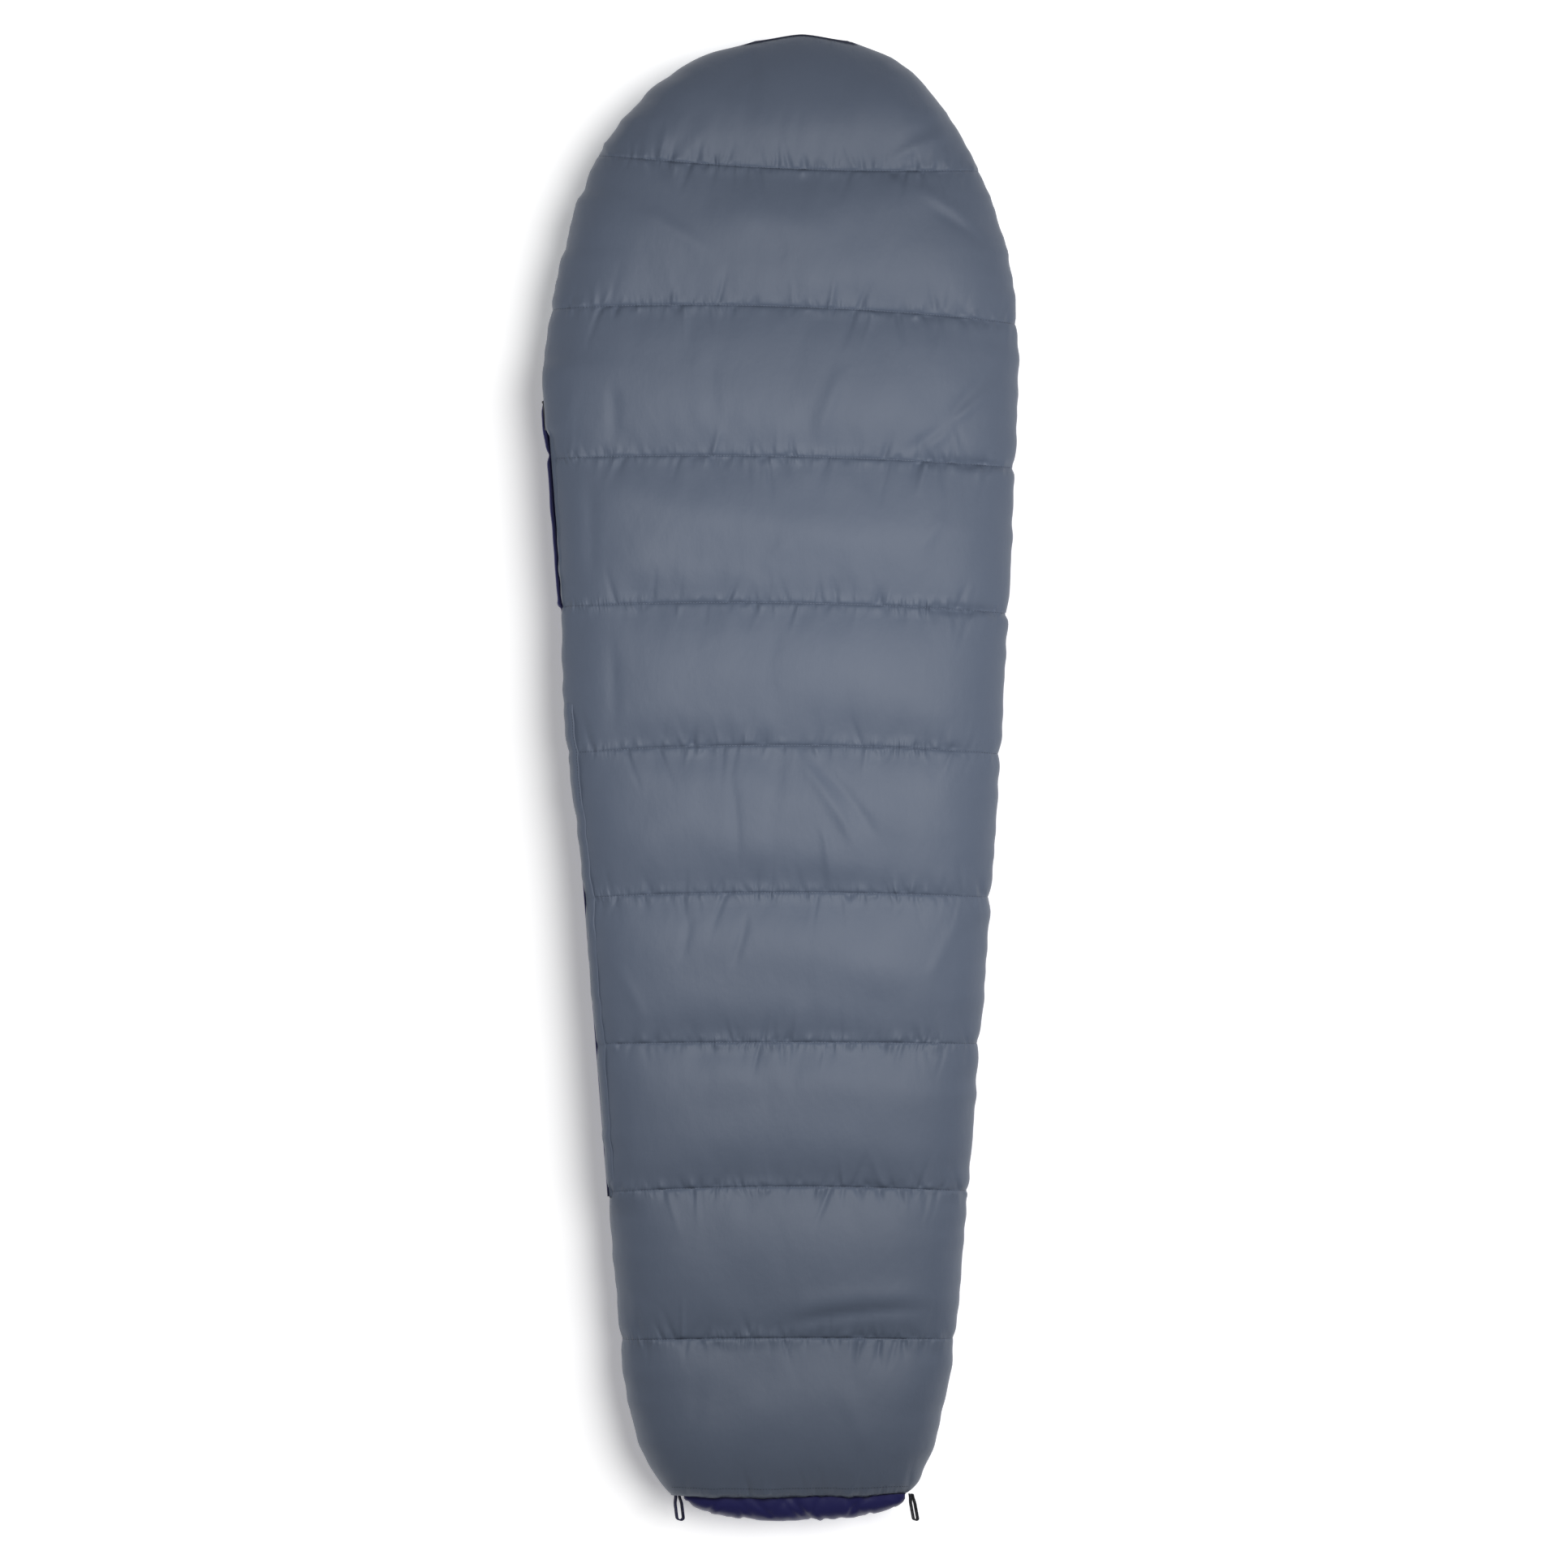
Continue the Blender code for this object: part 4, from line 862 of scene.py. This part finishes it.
def foot_box():
    """Navy end wall, stuffed, with the creases of its gathered edge."""
    u = np.linspace(-1, 1, 121)
    turn = np.linspace(0, math.pi, 30)
    middle, half = (box_low.x + box_high.x) / 2, (box_high.x - box_low.x) / 2
    bulge = (box_high.y - FOOT_END) * (0.09 + 0.91 * (1 - np.abs(u) ** 2.4) ** 0.60)
    high = (box_high.z - box_low.z) / 2 * (1 - 0.30 * np.abs(u) ** 6)
    outward = np.sin(turn) ** 0.62
    upward = np.sign(np.cos(turn)) * np.abs(np.cos(turn)) ** 0.62
    x = np.broadcast_to(middle + half * u[:, None], (len(u), len(turn))).copy()
    y = box_high.y + 0.004 - (bulge + 0.004)[:, None] * outward[None, :]
    z = (box_high.z + box_low.z) / 2 + high[:, None] * upward[None, :]
    creases = np.zeros_like(x)
    dice = random.Random(77)
    for _ in range(46):
        place, width = dice.uniform(box_low.x, box_high.x), dice.uniform(0.0035, 0.009)
        lean = dice.uniform(-1.2, 1.2)
        size = dice.choice((-1, -1, 1)) * dice.uniform(0.0010, 0.0036)
        across = (x - place - lean * (box_high.y - y)) / width
        round_edge = (turn - dice.uniform(0.2, 2.2)) / 0.8
        creases += size * np.exp(-across ** 2) * np.exp(-round_edge ** 2)
    y -= np.minimum(creases, 0.0008) * outward
    z += 0.6 * creases * upward
    outer = np.stack([x, np.maximum(y, FOOT_END - 0.001), z], axis=-1)
    inner = outer.copy()
    inner[..., 1] = box_high.y + 0.0045
    marks = np.stack([x, z * 0 + 0.02], axis=-1)
    mesh = cloth_grid("foot_box_quilt", outer, marks, inner)
    made = add(
        "foot_box_quilt", mesh, "front_panel",
        ["foot_box_shell", "foot_box_insulation"], [SHELL_NAVY, SHELL_NAVY],
    )


foot_box()

# ---------------------------------------------------------------- zip
ZIP_OUT = 0.0009  # the zip's middle line from the cut edge
COIL_RISE = 0.0026
COIL_RADIUS = 0.0013
COIL_PITCH = 0.0021


def on_zip(y, out=0.0):
    return edge(y, -1) - ZIP_OUT - out


def zip_half(word, body, side):
    """Tape and coil of one half of the zip. side is 1 for the half above, -1 below."""
    tape_low, tape_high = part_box(f"{word}_zip_tape")
    y = np.linspace(tape_low.y, tape_high.y, 260)
    across = np.linspace(tape_low.z, tape_high.z, 5)
    x = np.broadcast_to(on_zip(y, -0.0004)[:, None], (260, 5)) + 0.0003 * np.sin(y * 90)[:, None]
    face = np.stack(np.broadcast_arrays(x, y[:, None], across), axis=-1)
    mesh = cloth_grid(f"{word}_tape", face, None, face + np.array([0.0008, 0, 0]))
    add(f"{word}_tape", mesh, body, [f"{word}_zip_tape"], [TAPE, TAPE])
    coil_low, coil_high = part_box(f"{word}_zip_coil")
    turns = int((coil_high.y - coil_low.y - 2 * COIL_RADIUS) / COIL_PITCH)
    angle = np.linspace(0, 2 * math.pi * turns, 8 * turns + 1)
    y = coil_low.y + COIL_RADIUS + COIL_PITCH * angle / (2 * math.pi)
    helix = np.stack([
        on_zip(y) + (COIL_RADIUS - 0.0004) * np.cos(angle), y,
        MIDDLE + side * COIL_RISE + (COIL_RADIUS - 0.0002) * np.sin(angle),
    ], axis=-1)
    add(
        f"{word}_coil", tube_mesh(f"{word}_coil", helix, 0.00042, 4), body,
        [f"{word}_zip_coil"], [COIL],
    )


zip_half("back", "back_panel", 1)
zip_half("front", "front_panel", -1)


TAPE_COVER = 0.0014  # how far outside the cut edge the placket has to lie to hide the tape


def zip_placket():
    """Folded strip of shell cloth over the zip, stitched along its upper edge."""
    low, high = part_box("back_zip_facing")
    y_rows = np.linspace(low.y, high.y, 420)
    shares = np.linspace(-0.960, -1.0, 8)
    x, _, z, y, u = back_surface(y_rows, shares)
    raised = ease((0.13 - y) / 0.04) * ease((y + 0.06) / 0.04)
    faint = 0.0009 * ease((0.02 - y) / 0.06) * ease((y - low.y - 0.02) / 0.02)
    ridge = np.maximum(raised * (0.0015 + 0.0004 * waves(y, 41)), faint)
    ridge = ridge - 0.0018 * (1 - raised) * (faint <= 0)
    cover = edge(y_rows, -1) - TAPE_COVER
    x = x - np.maximum(ridge, 0) * (0.3 + 0.7 * (u < -0.97))
    x = np.where(u < -0.985, np.minimum(x, cover[:, None]), x)
    z = z + ridge * (1 - (u < -0.985) * 0.6)
    face = np.stack([x, y, z], axis=-1)
    edge_x = face[:, -1, 0]
    cut = edge(y_rows, -1)
    flutter = 0.0006 * waves(y_rows, 43, 8, 0.2, 0.02) * ease((0.54 - y_rows) / 0.05)
    under = []
    for share, height in ((0.0, 0.0800), (0.12, 0.0765), (0.45, 0.0735), (0.85, low.z + 0.0008)):
        fall = edge_x * (1 - share) + (cut - 0.0016) * share + flutter * (1 - share)
        fall = np.minimum(fall, cover)
        under.append(np.stack([fall, y_rows, np.full_like(y_rows, height)], axis=-1))
    face = np.concatenate([face, np.stack(under, axis=1)], axis=1)
    inner = face + np.array([0.0007, 0, -0.0004])
    beside = np.linspace(0, 0.02, face.shape[1])[None, :]
    marks = np.stack(np.broadcast_arrays(face[..., 0], beside), axis=-1)
    mesh = cloth_grid("zip_placket", face, marks, inner)
    add(
        "zip_placket", mesh, "back_panel", ["back_zip_facing"],
        [SHELL_GREY, SHELL_GREY],
    )
    return face[(y_rows < 0.10) & (y_rows > -0.04), 1]


placket_line = zip_placket()


def edge_piping():
    """Rolled navy edge of the front panel: pinched at a seam, tucked in below its tail."""
    low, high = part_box("front_edge_piping")
    y = np.linspace(low.y, high.y, 520)
    seam = BORDERS[BORDERS > 0.3][0]
    tail = BORDERS[BORDERS < 0.3][-1]
    shown = ease((y - tail + 0.004) / 0.010)
    pinch = np.exp(-((y - seam - 0.008) / 0.008) ** 2)
    top = ease((high.y - 0.006 - y) / 0.025)
    out = 0.0018 + shown * (0.0028 + 0.0010 * waves(y, 91, 6, 0.25, 0.04)) * top - 0.0030 * pinch
    out = out + 0.0016 * ease((y - 0.49) / 0.03)
    radius = 0.0026 + 0.0016 * shown * top - 0.0012 * pinch
    radius = radius + 0.0016 * np.exp(-((y - tail - 0.004) / 0.005) ** 2)
    height = (low.z + high.z) / 2 + 0.003 * shown
    line = np.stack([on_zip(y, 0.0) - out, y, height], axis=-1)
    mesh = tube_mesh("edge_roll", line, radius, 14, np.array([[[1.0, 1.0, 0.9]]]))
    # The roll gets the lighter copy of the navy cloth: painted light for the shade under the
    # quilt.
    made = add(
        "edge_roll", mesh, "front_panel", ["front_edge_piping"], [ROLL_NAVY_PAINTED_LIGHT]
    )


edge_piping()


def draft_tube():
    """Stuffed tube behind the zip, sewn to the lining every few centimetres."""
    low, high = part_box("draft_tube")
    y = np.linspace(low.y + 0.001, high.y - 0.001, 300)
    to_end = np.clip(np.minimum(y - low.y, high.y - y) / 0.012, 0, 1)
    ends = np.sqrt(np.clip(1 - (1 - to_end) ** 2, 0.02, 1))
    radius = ends * (0.96 + 0.04 * waves(y, 95, 7, 0.2, 0.03))
    line = np.stack([on_zip(y, -0.024), y, np.full_like(y, (low.z + high.z) / 2)], axis=-1)
    half = (high.z - low.z) / 2
    mesh = tube_mesh("draft_tube_quilt", line, radius, 20, np.array([[[0.0155, 0.0155, half]]]))
    made = add("draft_tube_quilt", mesh, "back_panel", ["draft_tube"], [LINING])


draft_tube()

# ---------------------------------------------------------------- right side seam

def side_web():
    """Strip of cloth that joins the two panels along the right side, bowed out a little between
    them.
    """
    y = np.linspace(FOOT_START - 0.03, NECK, 120)
    t = np.linspace(0, 1, 9)
    reach = 0.0026 * np.sin(math.pi * t)
    x = (edge(y, 1) - 0.0080)[:, None] + reach[None, :] + 0.0003 * waves(y, 97)[:, None]
    z = MIDDLE + 0.0060 * (t - 0.5)
    face = np.stack([x, np.broadcast_to(y[:, None], x.shape), np.broadcast_to(z, x.shape)], -1)
    mesh = cloth_grid("side_seam_web", face, None, face - np.array([0.0008, 0, 0]))
    made = add("side_seam_web", mesh, None, (), [SHELL_NAVY, SHELL_NAVY])
    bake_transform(made)
    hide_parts("right_side_seam")


side_web()


# ---------------------------------------------------------------- drawcord
TUNNEL_START, TUNNEL_END = math.radians(10), math.radians(156)
TUNNEL_INWARD = 0.0045
CORD_HEIGHT = 0.030
CORD_LINE_Y = BAND_LOW_Y + 0.032
LOCK_X = (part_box("cord_lock_body")[0].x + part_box("cord_lock_body")[1].x) / 2


def along_tunnel(angle):
    x, y = face_edge(angle, TUNNEL_INWARD)
    return Vector((x, y, CORD_HEIGHT))


def tunnel():
    angles = np.linspace(TUNNEL_START, TUNNEL_END, 150)
    points = np.array([along_tunnel(a) for a in angles])
    ripple = 0.0037 + 0.00025 * np.sin(angles * 150 + 2 * waves(angles, 99, 5, 1.5, 0.2))
    mesh = tube_mesh("cord_tunnel", points, ripple, 14, closed_ends=False)
    made = add(
        "cord_tunnel", mesh, "back_panel", ["drawcord_tunnel"], [SHELL_GREY]
    )
    wall = made.modifiers.new("cloth", "SOLIDIFY")
    wall.thickness, wall.offset = 0.0006, -1.0


tunnel()


def smooth_line(points, steps):
    """Smooth curve through points, read at steps places between each two."""
    ends = [2 * points[0] - points[1]] + points + [2 * points[-1] - points[-2]]
    read = []
    for a, b, c, d in zip(ends, ends[1:], ends[2:], ends[3:]):
        for step in range(steps):
            t = step / steps
            read.append(0.5 * (2 * b + (c - a) * t + (2 * a - 5 * b + 4 * c - d) * t * t
                               + (3 * b - a - 3 * c + d) * t ** 3))
    return read + [points[-1]]


def drawcord():
    leaves = along_tunnel(TUNNEL_END)
    across = Vector((1, 0, 0))
    line = Vector((leaves.x, CORD_LINE_Y, CORD_HEIGHT))
    free = [
        line + Vector((-0.002, 0.020, 0)), line + Vector((0.003, 0.006, 0)),
        line + across * 0.015, line + across * 0.030,
        Vector((LOCK_X, CORD_LINE_Y, CORD_HEIGHT)),
        Vector((LOCK_X + 0.050, CORD_LINE_Y, CORD_HEIGHT)),
    ]
    path = smooth_line([leaves] + free, 4)
    mesh = tube_mesh("drawcord", path, 0.0015, 10)
    made = add("drawcord", mesh, "back_panel", ["hood_drawcord"], [CORD])
    turn = np.linspace(0, 2 * math.pi, 73)[:-1]
    size = 0.00095
    knot_line = np.stack([
        size * (np.sin(turn) + 2 * np.sin(2 * turn)), size * (np.cos(turn) - 2 * np.cos(2 * turn)),
        -size * 1.4 * np.sin(3 * turn),
    ], axis=-1) + np.array(path[-1])
    knot_mesh = tube_mesh("cord_knot", np.vstack([knot_line, knot_line[:1]]), 0.0013, 8)
    knot = add("cord_knot", knot_mesh, "back_panel", (), [CORD])
    length = sum((b - a).length for a, b in zip(path, path[1:]))


drawcord()


# ---------------------------------------------------------------- straps and tabs
LOOP_LAY = 0.34  # how far the webbing leans over, for each unit of its width


def hanging_loop(name, node, body, look, narrow, tilt):
    """Folded webbing whose ends are sewn into the hem."""
    low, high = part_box(node)
    middle = (low.x + high.x) / 2
    half = (high.x - low.x) / 2 * narrow - 0.0008
    bend = np.linspace(math.pi, 2 * math.pi, 25)
    bottom = low.y + half + 0.0010
    straight = np.linspace(high.y + 0.003, bottom, 14)[:-1]
    leg = half * (0.55 + 0.45 * ease((high.y - straight) / 0.012))
    xs = np.concatenate([-leg, half * np.cos(bend), leg[::-1]])
    ys = np.concatenate([straight, bottom + half * np.sin(bend), straight[::-1]])
    xs = middle + xs + tilt * (high.y - ys)
    zs = np.linspace(low.z, high.z, 7)
    face = np.stack(np.broadcast_arrays(xs[:, None], ys[:, None], zs[None, :]), axis=-1).copy()
    face[..., 2] += 0.0006 * np.sin(np.arange(len(xs)) * 0.4)[:, None]
    face[..., 0] += LOOP_LAY * (zs - zs.mean())[None, :]
    mesh = cloth_grid(name, face)
    made = add(name, mesh, body, [node], [look])
    web = made.modifiers.new("webbing", "SOLIDIFY")
    web.thickness, web.offset = 0.0019, 0.0
    soft = made.modifiers.new("rounded", "BEVEL")
    soft.width, soft.segments = 0.0004, 2


hanging_loop(
    "left_loop_strap", "left_hanging_loop", "left_loop", WEBBING_NAVY, 0.86, 0.12
)
hanging_loop(
    "right_loop_strap", "right_hanging_loop", "right_loop", WEBBING_GREY, 0.60, 0.18
)


def flat_tab(name, node, body, look):
    """Tab of hook-and-loop tape with round corners, over its node's own box."""
    low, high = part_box(node)
    thickness = 0.0012 if node == "closing_tab" else 0.0007
    bm = bmesh.new()
    bmesh.ops.create_cube(bm, size=1.0)
    size = (thickness, high.y - low.y - 0.0004, high.z - low.z)
    bmesh.ops.scale(bm, vec=size, verts=bm.verts[:])
    corners = [e for e in bm.edges if abs(e.verts[0].co.x - e.verts[1].co.x) > thickness / 2]
    bmesh.ops.bevel(
        bm, geom=corners, offset=0.004 if node == "closing_tab" else 0.002, segments=6,
        affect="EDGES", profile=0.5, material=-1,
    )
    slope = (high.x - low.x - thickness) / (high.y - low.y)
    for vert in bm.verts:
        vert.co.x -= vert.co.y * slope
    bmesh.ops.translate(bm, vec=(low + high) / 2, verts=bm.verts[:])
    mesh = bpy.data.meshes.new(name)
    bm.to_mesh(mesh)
    bm.free()
    made = add(name, mesh, body, [node], [look])
    mesh.shade_flat()
    return made


flat_tab("zip_tab", "closing_tab", "tab", SHELL_GREY)
flat_tab("tab_landing", "loop_patch", "front_panel", FUZZ)


# ---------------------------------------------------------------- stitches
def stitches(name, lines, body, look, length=0.0030, gap=0.0014, lift=0.0002):
    """Short raised threads along each line of points."""
    bm = bmesh.new()
    bmesh.ops.create_icosphere(bm, subdivisions=1, radius=0.5)
    bmesh.ops.scale(bm, vec=(length, 0.0008, 0.0006), verts=bm.verts[:])
    bead = np.array([vert.co for vert in bm.verts])
    corners = np.array([[vert.index for vert in face.verts] for face in bm.faces])
    bm.free()
    placed = []
    for line in lines:
        line = np.asarray(line, float)
        far = np.concatenate([[0], np.cumsum(np.linalg.norm(np.diff(line, axis=0), axis=1))])
        for start in np.arange(0.006, far[-1] - 0.006, length + gap):
            ends = [
                Vector([np.interp(start + d, far, line[:, k]) for k in range(3)])
                for d in (0, length)
            ]
            turn = np.array((ends[1] - ends[0]).to_track_quat("X", "Z").to_matrix())
            placed.append(bead @ turn.T + np.array((ends[0] + ends[1]) / 2 + Vector((0, 0, lift))))
    copies = np.arange(len(placed))[:, None, None] * len(bead)
    mesh = bpy.data.meshes.new(name)
    mesh.from_pydata(np.concatenate(placed), [], (corners + copies).reshape(-1, 3))
    add(name, mesh, body, (), [look])


seam_lines = [back_points[np.argmin(np.abs(back_rows - b)), 3:-3] for b in BORDERS[1:-1]]
stitches("back_quilt_stitches", seam_lines, "back_panel", THREAD)
hem_row = np.argmin(np.abs(back_rows - HEM - 0.013))
stitches("hem_stitches", [back_points[hem_row, 12:-12]], "back_panel", THREAD)
stitches("placket_stitches", [placket_line], "back_panel", THREAD, lift=0.0004)
front_lines = [front_points[np.argmin(np.abs(front_rows - b)), 3:-3] for b in FRONT_BORDERS[1:-1]]
stitches(
    "front_quilt_stitches", front_lines, "front_panel", THREAD_NAVY, lift=-0.0002
)

# ---------------------------------------------------------------- hard pieces keep their shape
for node, look in (
    ("zip_slider", SLIDER), ("pull_tab", SLIDER), ("zip_bottom_stop", SLIDER),
    ("zip_top_stop", SLIDER), ("cord_eyelet", SLIDER), ("cord_lock_body", LOCK),
    ("cord_lock_button", LOCK), ("cord_lock_spring", SPRING),
):
    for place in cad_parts[node].material_slots:
        place.material = look

# ---------------------------------------------------------------- floor and lights
floor_mesh = bpy.data.meshes.new("floor")
bm = bmesh.new()
bmesh.ops.create_grid(bm, x_segments=1, y_segments=1, size=12.0)
bmesh.ops.translate(bm, vec=(0, 0, -0.0006), verts=bm.verts[:])
bm.to_mesh(floor_mesh)
bm.free()
floor = bpy.data.objects.new("floor", floor_mesh)
bpy.context.scene.collection.objects.link(floor)
floor_look = Look("floor_paint", 0.9, specular=0.1)
floor_look.shader.inputs["Emission Color"].default_value = (1, 1, 1, 1)
floor_look.shader.inputs["Emission Strength"].default_value = 0.33
floor_mesh.materials.append(floor_look.finish((0.92, 0.92, 0.92, 1.0)))


def light(kind, name, place, aim, settings, state):
    """A soft light that lights the floor only (INCLUDE) or all but the floor (EXCLUDE)."""
    data = bpy.data.lights.new(name, kind)
    for key, value in settings.items():
        setattr(data, key, value)
    made = bpy.data.objects.new(name, data)
    made.location = place
    made.rotation_mode = "QUATERNION"
    made.rotation_quaternion = (Vector(aim) - Vector(place)).to_track_quat("-Z", "Y")
    bpy.context.scene.collection.objects.link(made)
    lit = bpy.data.collections.new(name + "_lights")
    lit.objects.link(floor)
    made.light_linking.receiver_collection = lit
    lit.collection_objects[0].light_linking.link_state = state


light(
    "AREA", "overhead_box", (0.24, 0.18, 2.05), (0.02, 0.05, 0.0),
    {"shape": "DISK", "size": 0.9, "energy": 25.5}, "EXCLUDE",
)
light(
    "AREA", "side_box", (1.70, 0.60, 1.70), (0.05, -0.05, 0.0),
    {"shape": "DISK", "size": 1.0, "energy": 2.5}, "EXCLUDE",
)
light(
    "SUN", "floor_light", (1.8, 0.5, 3.0), (0.0, 0.0, 0.0),
    {"angle": math.radians(40), "energy": 2.8}, "INCLUDE",
)
world = bpy.data.worlds.new("studio")
bpy.context.scene.world = world
world.use_nodes = True
world.node_tree.nodes["Background"].inputs["Color"].default_value = (1, 1, 1, 1)
world.node_tree.nodes["Background"].inputs["Strength"].default_value = 0.09
